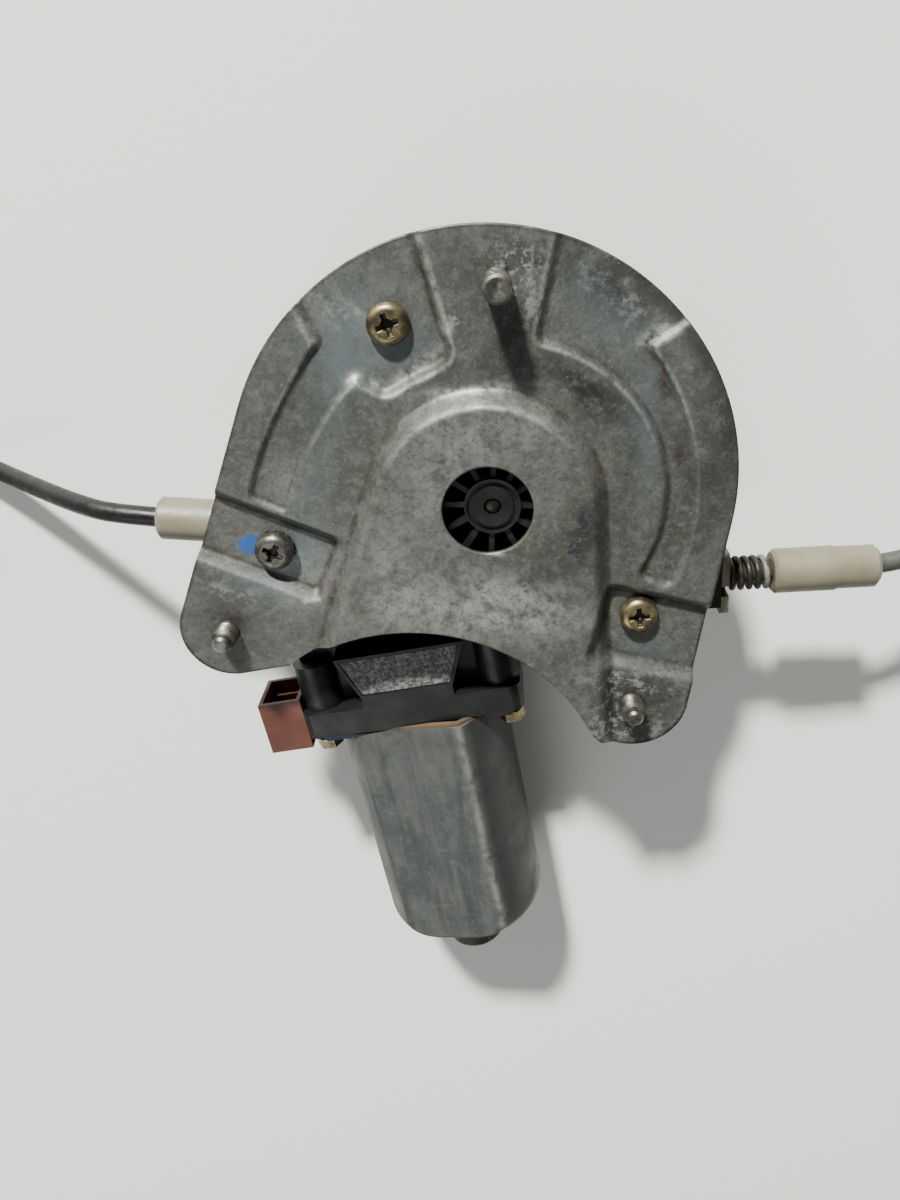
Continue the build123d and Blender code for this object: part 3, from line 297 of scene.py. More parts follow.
def canSteel():
    # Dull zinc over drawn steel: streaks along the motor's axis, dark blotches, a bright ridge of wear and painted
    # highlight, a dirty end, and painted shade on the side turned from the light
    along = {"stretch": (1.0, 0.1, 1.0), "turn": motor["turn"]}
    finish = Finish("can_steel", (0.052, 0.058, 0.054), 0.5, 0.25, 0.4)
    finish.mottle((0.085, 0.09, 0.082), (240, 6, 0.7), 0.42, 0.62, most=0.85, **along)
    finish.mottle((0.028, 0.033, 0.032), (150, 6, 0.75), 0.5, 0.64, most=0.85, **along)
    finish.mottle((0.033, 0.041, 0.041), (75, 6, 0.75), 0.5, 0.64, most=0.75)
    finish.mottle((0.11, 0.112, 0.1), (420, 5, 0.7), 0.55, 0.7, most=0.5)
    finish.mottle((0.04, 0.03, 0.019), (230, 6, 0.7), 0.34, 0.54, within="dirt_and_shade")
    # Painted shade on the can's right and lower side, away from the light
    finish.mottle((0.022, 0.024, 0.023), (80, 5, 0.7), 0.3, 0.5, least=0.5, within="dark")
    # Wear and painted highlight along the ridge, and wear at the end's edge
    finish.mottle((0.2, 0.2, 0.18), (210, 5), 0.36, 0.56, within="wear_and_highlight")
    finish.tint(finish.attribute("blue", 0.4, 0.6), (0.02, 0.07, 0.2))
    finish.rough(finish.noise(110, 5), 0.42, 0.62)
    finish.bump(finish.noise(150, 5, 0.65, **along), 0.0002, 0.4)
    return finish.material


def conduit(name, colour, light):
    # Smooth sheath whose gloss is broken by small dents along it
    finish = Finish(name, colour, 0.3, 0.0, 0.35)
    finish.mottle(light, (240, 4, 0.65), 0.45, 0.66)
    finish.rough(finish.noise(420, 4), 0.3, 0.55)
    finish.bump(finish.noise(330, 3), 0.0003, 0.45)
    return finish.material


looks = {"galvanised_plate": galvanised(), "black_moulding": housingPlastic(), "can_steel": canSteel(),
         "spring_steel": springWire()}
families = (
    (plated, (
        ("steel", (0.18, 0.18, 0.158), 0.36, (0.075, 0.072, 0.058)),
        ("yellow_zinc", (0.3, 0.245, 0.13), 0.32, (0.11, 0.095, 0.06)),
        ("laminated_iron", (0.16, 0.16, 0.16), 0.5, (0.1, 0.095, 0.09), 0.8),
        ("copper", (0.5, 0.25, 0.13), 0.35, (0.33, 0.15, 0.07)),
        ("sintered_bronze", (0.36, 0.26, 0.13), 0.5, (0.26, 0.18, 0.09)),
        ("cable_wire", (0.3, 0.3, 0.28), 0.35, (0.12, 0.115, 0.1)),
    )),
    (moulding, (
        ("soft_rubber", (0.012, 0.012, 0.012), 0.7, (0.02, 0.02, 0.02)),
        ("ferrite", (0.035, 0.035, 0.035), 0.6, (0.05, 0.05, 0.05)),
        ("brush_carbon", (0.02, 0.02, 0.02), 0.5, (0.03, 0.03, 0.03)),
        ("gasket_board", (0.085, 0.058, 0.03), 0.75, (0.025, 0.018, 0.012)),
        ("red_brown_moulding", (0.07, 0.019, 0.0105), 0.55, (0.1, 0.032, 0.018)),
        ("tie_band", (0.015, 0.015, 0.015), 0.45, (0.02, 0.02, 0.02)),
    )),
    (agedNylon, (
        ("natural_nylon", (0.3, 0.292, 0.215), (0.235, 0.215, 0.145)),
        ("cream_moulding", (0.175, 0.167, 0.114), (0.13, 0.113, 0.07)),
    )),
    (conduit, (
        ("black_conduit", (0.003, 0.0038, 0.0036), (0.007, 0.008, 0.0076)),
        ("grey_conduit", (0.042, 0.044, 0.039), (0.068, 0.068, 0.06)),
    )),
)
for make, rows in families:
    looks.update({row[0]: make(*row) for row in rows})
slotOf = {row["node"]: row["material_slot"] for row in frame["record"]["subparts"]}
for name, node in frame["nodes"].items():
    node.data.materials.clear()
    node.data.materials.append(looks[slotOf[name]])
print("stage: materials")


# Helpers for meshes; lengths here are millimetres

def polar(radius, degrees, centre=(0, 0)):
    turned = np.radians(degrees)
    return np.stack([centre[0] + radius * np.cos(turned), centre[1] + radius * np.sin(turned)], -1)


def wholeTurn(count):
    return np.linspace(0, 2 * math.pi, count, endpoint=False)


def meshFrom(name, points, faces, material, body, smooth=True):
    # Mesh object from points in millimetres, riding on a body
    mesh = bpy.data.meshes.new(name)
    mesh.from_pydata((np.asarray(points, float) * mm).tolist(), [], faces)
    mesh.polygons.foreach_set("use_smooth", [smooth] * len(mesh.polygons))
    mesh.update()
    piece = placed(name, mesh)
    mesh.materials.append(looks[material])
    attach(piece, body)
    return piece


def sharpened(piece, degrees=32):
    # Keeps a crisp edge wherever two faces meet at more than this angle
    piece.data.set_sharp_from_angle(angle=math.radians(degrees))


def ringFaces(rings, count, closeEnds=False):
    # Quads between neighbouring closed rings of points, and flat caps where asked
    rows = np.arange(rings - 1)[:, None] * count
    here = np.arange(count)[None, :]
    after = (here + 1) % count
    quads = np.stack([rows + here, rows + after, rows + count + after, rows + count + here], -1)
    faces = quads.reshape(-1, 4).tolist()
    if closeEnds:
        faces.append(list(range(count))[::-1])
        faces.append(list(range((rings - 1) * count, rings * count)))
    return faces


def spread(piece, name, values):
    # Stores one number per point, for a finish to read
    piece.data.attributes.new(name, "FLOAT", "POINT").data.foreach_set("value", np.asarray(values, float))


def axisFrame(place, turnDegrees):
    # Origin and three directions of a fitting that points along +X, turned about Z
    ahead = np.array([*polar(1, turnDegrees), 0])
    return np.array(place, float), np.array([-ahead[1], ahead[0], 0]), np.array([0, 0, 1.0]), ahead


def tubeAlong(name, line, radius, material, body, count=16):
    # Round wire along a line of points, kept from twisting by carrying its side vector forward
    line = np.asarray(line, float)
    ways = np.gradient(line, axis=0)
    ways /= np.linalg.norm(ways, axis=1)[:, None]
    side = np.cross(ways[0], [0.1, 0.2, 1.0])
    sides = []
    for way in ways:
        side = side - way * side.dot(way)
        side /= np.linalg.norm(side)
        sides.append(side)
    sides = np.array(sides)
    ups = np.cross(ways, sides)
    turns = wholeTurn(count)
    rings = np.cos(turns)[None, :, None] * sides[:, None] + np.sin(turns)[None, :, None] * ups[:, None]
    points = line[:, None] + radius * rings
    return meshFrom(name, points.reshape(-1, 3), ringFaces(len(line), count, True), material, body)


# Cords: outer casings of the two cables, coiled beside the unit

cord = {
    "radius": 2.5, "coilRadius": 27.0, "capRadius": 3.6, "level": -42.9, "perTurn": 24, "woundOut": 0.2,
    "tail": ((14, 0.6), (27, 2.8), (36, 5.6)), "tailDrop": 1.0, "capSink": 0.3, "bevel": 8, "curveSteps": 10,
}


def coilPoints(route, way, sweepDegrees):
    # Turns of the coil, from the route's end: flat at first, then rising on to the layer below
    last, before = np.array(route[-1]), np.array(route[-2])
    ahead = (last - before)[:2] / np.linalg.norm((last - before)[:2])
    centre = last[:2] + way * cord["coilRadius"] * np.array([-ahead[1], ahead[0]])
    start = math.degrees(math.atan2(last[1] - centre[1], last[0] - centre[0]))
    steps = int(sweepDegrees / 360 * cord["perTurn"])
    first = sweepDegrees - 360
    swept = sweepDegrees * np.arange(1, steps + 1) / steps
    rise = np.clip((swept - first) / (360 - first), 0, 1) * 2 * cord["radius"]
    places = polar(cord["coilRadius"] + cord["woundOut"], start + way * swept, centre)
    return np.column_stack([places, last[2] + rise]), centre, start + way * sweepDegrees


def tailPoints(centre, outTurn, way):
    # From the coil's top down to the table, along the coil's tangent
    start = polar(cord["coilRadius"], outTurn, centre)
    low = cord["capRadius"] - cord["radius"] - cord["capSink"]
    heights = (2 * cord["radius"] - cord["tailDrop"], low, low)
    points = []
    for (along, aside), height in zip(cord["tail"], heights):
        place = polar(aside, outTurn, polar(along, outTurn + way * 90, start))
        points.append((*place, cord["level"] + height))
    return points


casings = {
    "left": {
        "route": [
            (-71.7, -8.94, -10.0), (-93.6, -7.95, -10.0), (-106.0, -6.9, -15.4), (-119.3, -6.4, -24.8),
            (-133.3, -5.4, -34.4), (-147.5, -2.4, -41.0), (-159.8, 2.2, cord["level"]),
            (-169.0, 6.0, cord["level"]),
        ],
        "way": 1, "sweep": 472.5, "slot": "black_conduit", "body": "base", "length": 0.3675,
        "exit": (-82.4, -8.45, -10.0),
    },
    "right": {
        "route": [
            (89.0, -21.31, -15.6), (102.8, -20.2, -15.6), (114.0, -14.8, -18.8), (126.5, -8.2, -26.6),
            (139.5, 0.4, -35.6), (152.0, 9.6, -41.4), (164.0, 18.6, cord["level"]),
            (172.0, 25.0, cord["level"]),
        ],
        "way": -1, "sweep": 488.7, "slot": "grey_conduit", "body": "tensioner", "length": 0.37,
        "exit": (97.37, -20.63, -15.6),
    },
}


def makeCasing(side, plan):
    turns, centre, outTurn = coilPoints(plan["route"], plan["way"], plan["sweep"])
    points = np.vstack([plan["route"], turns, tailPoints(centre, outTurn, plan["way"])])
    curve = bpy.data.curves.new("casing_" + side, "CURVE")
    curve.dimensions = "3D"
    curve.bevel_depth = cord["radius"] * mm
    curve.bevel_resolution = cord["bevel"]
    curve.use_fill_caps = True
    curve.resolution_u = cord["curveSteps"]
    spline = curve.splines.new("NURBS")
    spline.points.add(len(points) - 1)
    spline.points.foreach_set("co", np.column_stack([points * mm, np.ones(len(points))]).ravel())
    spline.order_u = 3
    spline.use_endpoint_u = True
    casing = placed("casing_" + side, curve)
    curve.materials.append(looks[plan["slot"]])
    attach(casing, plan["body"])
    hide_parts("conduit_" + side, "coil_" + side, "tail_" + side)


for side, plan in casings.items():
    makeCasing(side, plan)
print("stage: cords")

# Cover plate: pressed zinc-coated sheet

plate = {
    "sheet": 1.5, "radius": 58.5, "centre": (-2.6, 2.2), "hubHole": (-1.1, -0.5), "hubHoleRadius": 10.5,
    "leftLug": (-65.3, -34.6), "leftLugRadius": 12.5, "heelTurn": -78,
    "rightLug": (37.2, -52.3), "rightLugRadius": 13.5,
    "bight": ((-10.0, -33.0), (-50.8, -44.3), 214.0),
    "bandDepth": 2.0, "rightShare": 0.62, "draft": 40.0, "softEdge": 0.5,
    "fade": {"most": 0.55, "from": 128, "over": 22, "until": 220},
    # Pads: screw's place, turn, and how far the low area runs above, below, left and right of it
    "padDepth": 2.8,
    "pads": (((-52.4, -13.2), -21.5, 7.3, 6.7, 40, 13.1), ((36.5, -28.9), -12.4, 4.9, 11.9, 8.6, 40)),
    "domeRise": 4.0, "domeRadius": 28.3, "domeCentre": (-1.8, -1.5), "domeTurns": (162.0, 5.5), "domeReach": 80,
    "domeEdge": 2.4, "around": 620, "outwards": 110, "outwardsBelow": 24, "rimStep": 0.25, "sideStep": 1.0,
    "cornerSoftening": 3, "bulgeBlur": 3,
    # Wear and painted highlights: shares of the way out to the rim, and places across the plate, each as start and
    # width of a rise
    "rim": (0.982, 0.014), "scuff": (0.915, 0.06), "scuffSide": (5, 25), "scuffHeight": (-12, 30),
    "upper": (10, 14), "rimDark": 0.85, "lowerWearAndHighlight": 0.12, "stepWearAndHighlight": (3.2, 0.14, 0.5), "footDirt": (8, 0.45, 0.75),
    # Stains, darker and paler patches, and painted highlights: centre, half sizes, turn in degrees and strength of
    # each soft patch
    "markPatches": {
        # Worn spots and painted highlights, among them the bright line along the dome's upper shoulder
        "wear_and_highlight": [
            (-18, 30.5, 6, 1.3, 35, 0.9), (-26.5, 27.5, 1.3, 1.2, 0, 0.9),
            (-31.5, 28.5, 1.8, 1.2, 30, 1.0), (34.5, 39, 4.5, 1.2, 35, 1.0),
            (-45.4, -26.2, 1.0, 0.8, 0, 1.0), (-7, 26.2, 10, 1.0, 6, 0.8), (1, -11.0, 2.2, 0.4, 0, 1.0),
            (-10.5, 39.5, 1.2, 1.0, 0, 0.9), (-30, 42.5, 5, 0.8, -40, 0.5), (2.2, 47.5, 1.2, 1.8, 20, 0.5),
        ],
        "dirt_and_shade": [
            (37, 29, 1.6, 9, 10, 0.9), (42.5, 11, 1.4, 9, 14, 0.8), (-67, -31, 6, 5, 0, 0.8),
            (38, -50, 8, 5, 0, 0.6), (33, 36, 2, 2, 0, 0.8), (52, 12, 3, 14, -8, 0.5),
            (-0.1, 43, 7, 5, 0, 0.6), (-32, -24, 3, 7, 20, 0.35), (-8, 54, 10, 3, 0, 0.3),
        ],
        "dark": [
            (21, -4, 4.0, 7.5, 0, 1.0), (22, 24, 7, 5, -45, 1.0), (24, 51, 14, 8, -30, 0.8),
            (50, 18, 8, 26, -8, 0.6), (37, -54, 13, 9, 0, 0.9), (-66, -37, 11, 9, 0, 0.6),
            (3, 39, 4.5, 7, 10, 0.95), (-3, 31, 11, 4, 0, 0.6), (-43, 19, 5, 12, -20, 0.35),
            (30, 5, 4, 22, 0, 0.5), (-9, 50, 4, 3, 0, 0.5), (8, 52, 5, 4, -20, 0.7),
            (14, -14, 8, 5, 30, 0.5), (-16, 29, 8, 3, 35, 0.6), (14, 31, 8, 3, -30, 0.7),
        ],
        "pale": [
            (-8, -26, 20, 7, 0, 1.0), (-47, -17, 8, 5, -20, 0.8), (-12, 8, 9, 14, 0, 0.5),
            (-31, 39, 9, 5, -30, 0.5), (8, -24, 14, 6, -20, 0.9), (-52, -24, 8, 3, -20, 0.6),
            (2, 18, 12, 6, 0, 0.5), (-24, -16, 6, 10, 0, 0.6), (8, 50, 4, 5, 0, 0.6),
            (-48, 4, 3, 8, -15, 0.4),
        ],
        "cool": [
            (-33, 38, 8, 9, -40, 0.9), (-24, 33, 9, 5, 20, 0.9), (-47, -14, 9, 6, -20, 0.7),
            (34, 20, 4, 20, 5, 0.6), (22, 44, 7, 12, 30, 0.5), (-55, -22, 10, 3, -20, 0.7),
            (-40, 12, 5, 20, -15, 0.45), (38, -40, 8, 5, 0, 0.4),
        ],
        "chalk": [
            (4, 53, 5, 4, 0, 0.8), (6, 46, 3, 5, 20, 0.6), (-9.5, 41, 2.5, 2, 0, 0.8),
            (36, -47, 11, 3, -10, 0.7), (30, -55, 5, 6, 0, 0.7), (37, -61, 9, 3, 0, 0.7),
            (-6, 26, 12, 1.6, 6, 0.5), (-34, 41, 7, 2, -40, 0.6), (26, 46, 10, 3, -35, 0.4),
            (-63, -24, 6, 2, -20, 0.5),
        ],
        "chips": [
            (21, -2, 4.5, 5, 0, 1.0), (19.5, -10, 4, 4, 20, 0.95), (16, 9, 3, 4, 0, 0.8),
            (8, -19, 12, 6, -10, 0.78), (30, 50, 9, 4, -40, 0.95), (0, 52, 6, 4, 0, 0.9),
            (3, 42, 5, 6, 0, 0.85), (38, -52, 9, 7, 0, 0.85), (30, 8, 3, 12, 0, 0.8),
            (53, 10, 3, 20, 0, 0.8), (-66, -36, 8, 6, 0, 0.78), (48, 24, 6, 10, 0, 0.76),
            (-30, -24, 8, 6, 0, 0.74),
        ],
        "blue": [
            (-58.6, -12.2, 3.0, 2.4, 20, 1.0), (-55.6, -13.6, 2.2, 1.2, -10, 0.9),
        ],
    },
}


def throughThree(first, middle, last):
    # Arc from first through middle to last
    a, b, c = (np.array(p, float) for p in (first, middle, last))
    rows = 2 * np.array([b - a, c - a])
    centre = np.linalg.solve(rows, [b.dot(b) - a.dot(a), c.dot(c) - a.dot(a)])
    turns = [math.atan2(*(p - centre)[::-1]) for p in (a, b, c)]
    middleTurn, lastTurn = ((turn - turns[0]) % (2 * math.pi) for turn in turns[1:])
    if middleTurn > lastTurn:
        lastTurn -= 2 * math.pi
    radius = np.linalg.norm(a - centre)
    turn = turns[0] + np.linspace(0, lastTurn, 60)
    return centre + radius * np.stack([np.cos(turn), np.sin(turn)], -1)


def touchingLine(first, firstRadius, second, secondRadius, side):
    # Ends of the straight line that touches two circles on one side
    way = np.subtract(second, first)
    turn = math.degrees(math.atan2(way[1], way[0]))
    turn += side * math.degrees(math.acos((firstRadius - secondRadius) / np.linalg.norm(way)))
    return polar(firstRadius, turn, first), polar(secondRadius, turn, second)


def evenLoop(stretches, step):
    # Closed loop through all stretches in turn, with its points one step apart
    line = np.vstack([np.atleast_2d(np.array(stretch, float)) for stretch in stretches])
    line = np.vstack([line, line[:1]])
    run = np.concatenate([[0], np.cumsum(np.linalg.norm(np.diff(line, axis=0), axis=1))])
    places = np.linspace(0, run[-1], int(round(run[-1] / step)), endpoint=False)
    return np.stack([np.interp(places, run, line[:, k]) for k in (0, 1)], -1)


def softened(loop, width):
    # Each point becomes the mean of its neighbours, which rounds the corners
    return sum(np.roll(loop, shift, 0) for shift in range(-(width // 2), width // 2 + 1)) / width


def signedDistance(places, loop):
    # Distance to the nearest side of a loop, negative inside: there a level line crosses it an odd number of times
    ends = np.roll(loop, -1, 0)
    way = (ends - loop).astype(np.float32)
    offset = (places[:, None] - loop[None]).astype(np.float32)
    along = np.clip((offset * way).sum(-1) / (way * way).sum(-1), 0, 1)
    gap = np.hypot(*np.moveaxis(offset - along[..., None] * way, -1, 0)).min(1)
    above = places[:, None, 1] < loop[None, :, 1]
    crossing = above != (places[:, None, 1] < ends[None, :, 1])
    rise = np.where(np.abs(way[:, 1]) < 1e-6, 1e-6, way[:, 1])
    left = offset[..., 0] < way[:, 0] * offset[..., 1] / rise
    inside = (crossing & left).sum(1) % 2 == 1
    return np.where(inside, -gap, gap)


def smoothRise(value, start=0.0, width=1.0):
    # 0 to 1 in a soft S from start over a width: three times the square less twice the cube
    value = np.clip((value - start) / width, 0, 1)
    return value * value * (3 - 2 * value)


def plateOutline():
    centre, radius = plate["centre"], plate["radius"]
    leftLug, leftRadius = plate["leftLug"], plate["leftLugRadius"]
    rightLug, rightRadius = plate["rightLug"], plate["rightLugRadius"]
    leftHigh, leftLow = touchingLine(centre, radius, leftLug, leftRadius, -1)
    rightHigh, rightLow = touchingLine(centre, radius, rightLug, rightRadius, 1)
    bightTop, bightLeft, bightTurn = plate["bight"]
    bightRight = polar(rightRadius, bightTurn, rightLug)
    heel = polar(leftRadius, plate["heelTurn"], leftLug)
    return [
        throughThree(leftHigh, polar(radius, 80, centre), rightHigh),
        throughThree(rightLow, polar(rightRadius, -80, rightLug), bightRight),
        throughThree(bightRight, bightTop, bightLeft),
        throughThree(heel, polar(leftRadius, 200, leftLug), leftLow),
    ]


def leftBand():
    # Low area round the top screw, and the curved band that runs on from it down the left side; each point is a
    # radius and a turn about the drum's axis
    return [
        polar(66.5, 107.5), polar(35.5, 107.5), polar(34.5, 111.5),
        throughThree(polar(34.5, 111.5), polar(34.5, 122), polar(35.5, 134)),
        throughThree(polar(42.9, 136.5), polar(44.3, 160), polar(48.9, 183)),
        throughThree(polar(56.6, 179), polar(52.7, 158), polar(52.5, 136.5)),
        throughThree(polar(66.5, 133), polar(66.5, 120), polar(66.5, 107.5)),
    ]


def rightBand():
    # Low sector beside the top stud, and the band that runs on from it down the right side
    return [
        polar(66.5, 78),
        throughThree(polar(38.5, 76), polar(40, 40), polar(40, -26)),
        throughThree(polar(47.2, -25), polar(46.1, 15), polar(48.4, 48.4)),
        throughThree(polar(66.5, 44.4), polar(66.5, 62), polar(66.5, 78)),
    ]


def screwPad(screw, turn, above, below, left, right):
    # Slanted rectangle round a cover screw, running off the plate on its outer side
    along, up = polar(1, turn), polar(1, turn + 90)
    corners = ((-left, above), (right, above), (right, -below), (-left, -below))
    return [np.array(screw) + x * along + y * up for x, y in corners]


def domeOutline():
    leftTurn, rightTurn = plate["domeTurns"]
    radius, centre, reach = plate["domeRadius"], plate["domeCentre"], plate["domeReach"]
    leftTop, rightTop = polar(radius, leftTurn, centre), polar(radius, rightTurn, centre)
    return [
        throughThree(rightTop, polar(radius, 90, centre), leftTop),
        polar(reach, leftTurn + 90, leftTop), polar(reach, rightTurn - 90, rightTop),
    ]


def plateHeight(places):
    # Low areas drop by their depth and the dome rises, each over a soft sloping wall beside its outline
    slope, soft, fade = math.tan(math.radians(plate["draft"])), plate["softEdge"], plate["fade"]
    turned = np.degrees(np.arctan2(places[:, 1], places[:, 0])) % 360
    shallower = 1 - fade["most"] * smoothRise(turned, fade["from"], fade["over"]) * (turned < fade["until"])
    pockets = [(screwPad(*pad), plate["padDepth"]) for pad in plate["pads"]]
    pockets.append((leftBand(), plate["bandDepth"] * shallower))
    pockets.append((rightBand(), plate["bandDepth"] * plate["rightShare"]))
    low = np.zeros(len(places))
    for stretches, depth in pockets:
        loop = softened(evenLoop(stretches, plate["sideStep"]), plate["cornerSoftening"])
        across = (signedDistance(places, loop) + soft) / (depth * slope + 2 * soft)
        low = np.maximum(low, depth * (1 - smoothRise(across)))
    loop = softened(evenLoop(domeOutline(), plate["sideStep"]), plate["cornerSoftening"])
    across = (soft - signedDistance(places, loop)) / (plate["domeRise"] * slope + plate["domeEdge"] * soft)
    return plate["domeRise"] * smoothRise(across) - low


def blurred(values, times=2):
    # Mean with the neighbours on the grid, repeated; the first axis closes on itself
    for _ in range(times):
        values = (np.roll(values, 1, 0) + values + np.roll(values, -1, 0)) / 3
        padded = np.pad(values, ((0, 0), (1, 1)), mode="edge")
        values = (padded[:, :-2] + padded[:, 1:-1] + padded[:, 2:]) / 3
    return values


def markPatches(places, spots):
    # Sum of soft oval patches, each given by its centre, half sizes, turn in degrees and strength
    total = np.zeros(places.shape[:-1])
    for x, y, wide, tall, turn, strength in spots:
        shift = places - (x, y)
        along, across = shift @ polar(1, turn), shift @ polar(1, turn + 90)
        total += strength * np.exp(-((along / wide) ** 2 + (across / tall) ** 2))
    return total


def plateWearAndPaintedLight(top, bulge):
    # The named patches, with bright metal on the steps of the upper part (wear, and painted highlight where the
    # steps face the light), dirt at the steps' feet, and a dark, scuffed rim
    wear = {label: markPatches(top, spots) for label, spots in plate["markPatches"].items()}
    outwards = np.linspace(0, 1, top.shape[1])[None] * np.ones(top.shape[:2])
    rim = smoothRise(outwards, *plate["rim"])
    scuffed = smoothRise(outwards, *plate["scuff"]) * smoothRise(top[..., 0], *plate["scuffSide"])
    scuffed = scuffed * smoothRise(top[..., 1], *plate["scuffHeight"])
    # Painted highlight: the steps' brightening is kept mostly to the upper part, nearer the light
    shine = plate["lowerWearAndHighlight"] + (1 - plate["lowerWearAndHighlight"]) * smoothRise(top[..., 1], *plate["upper"])
    gain, less, most = plate["stepWearAndHighlight"]
    wear["wear_and_highlight"] += np.clip(bulge * gain - less, 0, most) * shine
    wear["wear_and_highlight"] *= 1 - np.maximum(rim, scuffed)
    gain, less, most = plate["footDirt"]
    wear["dirt_and_shade"] += np.clip(-bulge * gain - less, 0, most)
    wear["dark"] += plate["rimDark"] * rim
    return {**wear, "scuffed": scuffed}


def makePlate():
    # point(turn, share) = hole's edge + share * way to the outline, at plateHeight; a coarser skin lies below
    outline = evenLoop(plateOutline(), plate["rimStep"])
    outline = np.vstack([outline, outline[:1]])
    run = np.linspace(0, len(outline) - 1, plate["around"], endpoint=False)
    rim = np.stack([np.interp(run, np.arange(len(outline)), outline[:, k]) for k in (0, 1)], -1)
    hub = np.array(plate["hubHole"])
    way = rim - hub
    start = hub + way / np.linalg.norm(way, axis=1)[:, None] * plate["hubHoleRadius"]
    share = np.linspace(0, 1, plate["outwards"])
    top = start[:, None] + share[None, :, None] * (rim - start)[:, None]
    height = plateHeight(top.reshape(-1, 2)).reshape(top.shape[:2])
    bulge = height - blurred(height, plate["bulgeBlur"])
    shareBelow = np.linspace(0, 1, plate["outwardsBelow"])
    below = start[:, None] + shareBelow[None, ::-1, None] * (rim - start)[:, None]
    heightBelow = np.stack([np.interp(shareBelow, share, row) for row in height])[:, ::-1] - plate["sheet"]
    grid = np.concatenate([np.dstack([top, height]), np.dstack([below, heightBelow])], 1)
    points = grid.transpose(1, 0, 2).reshape(-1, 3)
    faces = ringFaces(grid.shape[1], plate["around"])
    last = (grid.shape[1] - 1) * plate["around"]
    here = np.arange(plate["around"])
    after = (here + 1) % plate["around"]
    faces += np.stack([last + here, last + after, after, here], -1).tolist()
    piece = meshFrom("plate_pressing", points, faces, "galvanised_plate", "base")
    for name, values in plateWearAndPaintedLight(top, bulge).items():
        under = np.full(below.shape[:2], plate["rimDark"] if name == "dark" else 0.0)
        spread(piece, name, np.concatenate([np.clip(values, 0, 1), under], 1).T.ravel())
    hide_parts("cover_plate")


makePlate()
print("stage: cover plate")

# Studs: rolled thread on the shank above the plate and on the root below it

studs = {
    "radius": 3.0, "threadDepth": 0.42, "pitch": 1.0, "crestSlope": 2.6, "crestFlat": 0.3, "runOut": 0.8,
    "neckRadius": 2.8, "headRadius": 5.2, "sheet": 1.5, "head": 2.5, "root": 8.0, "chamfer": 0.6, "dirt_and_shade": 0.75,
    "pilotRadius": 2.1, "pilot": 2.6, "pilotEnd": 0.6, "dimple": (1.3, 0.7), "dimpleDepth": 0.3,
    "around": 56, "step": 0.09,
    "places": {"top": (-0.1, 49.2, 13.0), "left": (-65.7, -35.0, 5.0), "right": (36.5, -53.5, 5.0)},
}


def makeStud(name):
    # radius(turn, z) = full radius - depth * wave(z / pitch - turn / 360), flat at its crests and fading at its
    # ends; each stretch of the outline is a height, a radius and 1 where thread is cut, else 0
    x, y, length = studs["places"][name]
    under, neck, head = -studs["sheet"] - studs["head"], studs["neckRadius"], studs["headRadius"]
    low, full, chamfer = under - studs["root"], studs["radius"], studs["chamfer"]
    stretches = [(low, full - chamfer, 0), (low + chamfer, full, 0)]
    stretches += [(z, full, 1) for z in np.arange(low + chamfer, under, studs["step"])]
    stretches += [(under, full, 0), (under, head, 0), (-studs["sheet"], head, 0),
                  (-studs["sheet"], neck, 0), (0.0, neck, 0), (0.0, full, 0)]
    stretches += [(z, full, 1) for z in np.arange(studs["step"], length - chamfer, studs["step"])]
    stretches.append((length - chamfer, full, 0))
    if name == "top":
        (outer, inner), floor = studs["dimple"], length - studs["dimpleDepth"]
        stretches += [(length, full - chamfer, 0), (length, outer, 0), (floor, inner, 0)]
    else:
        top, pilot = length + studs["pilot"], studs["pilotRadius"]
        stretches += [(length, pilot, 0), (top - chamfer, pilot, 0), (top, pilot - chamfer, 0),
                      (top, studs["pilotEnd"], 0)]
    heights, radii, threaded = np.array(stretches, float).T
    turns = wholeTurn(studs["around"])
    phase = (heights[:, None] / studs["pitch"] - turns[None] / (2 * math.pi)) % 1
    wave = np.clip(np.abs(phase - 0.5) * studs["crestSlope"] - studs["crestFlat"], 0, 1)
    ends = np.minimum(np.abs(heights - low), np.minimum(np.abs(heights - under), np.abs(heights - length)))
    ends = np.minimum(ends, np.where(heights > 0, heights, np.inf))
    cutIn = wave * (threaded * smoothRise(ends / studs["runOut"]))[:, None]
    radius = radii[:, None] - studs["threadDepth"] * cutIn
    tall = np.repeat(heights[:, None], len(turns), 1)
    points = np.stack([x + radius * np.cos(turns), y + radius * np.sin(turns), tall], -1).reshape(-1, 3)
    piece = meshFrom("thread_" + name, points, ringFaces(len(heights), len(turns), True), "steel", "base")
    # The thread's grooves above the plate are darkened
    spread(piece, "dirt_and_shade", (studs["dirt_and_shade"] * cutIn * (tall > 0)).ravel())
    sharpened(piece)
    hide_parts("stud_" + name)


# Cover screws: domed heads with a tapered cross recess

screws = {
    "headRadius": 4.75, "head": 3.1, "edge": 2.0, "shank": 2.4, "centreRadius": 0.06, "dirt_and_shade": (1.4, 0.2),
    "recess": {
        "reach": 2.6, "half": 0.68, "depth": 1.8, "taper": 0.45, "core": 1.5, "coreEdge": 0.5, "margin": 0.4,
    },
    "wallWidth": 0.35, "around": 132, "across": 46, "edgeRings": 14,
    "places": {
        "top": (-23.4, 40.3, -2.0, 22.0), "left": (-52.4, -13.2, -2.0, -28.0), "right": (36.5, -28.9, -2.8, 8.0),
    },
}


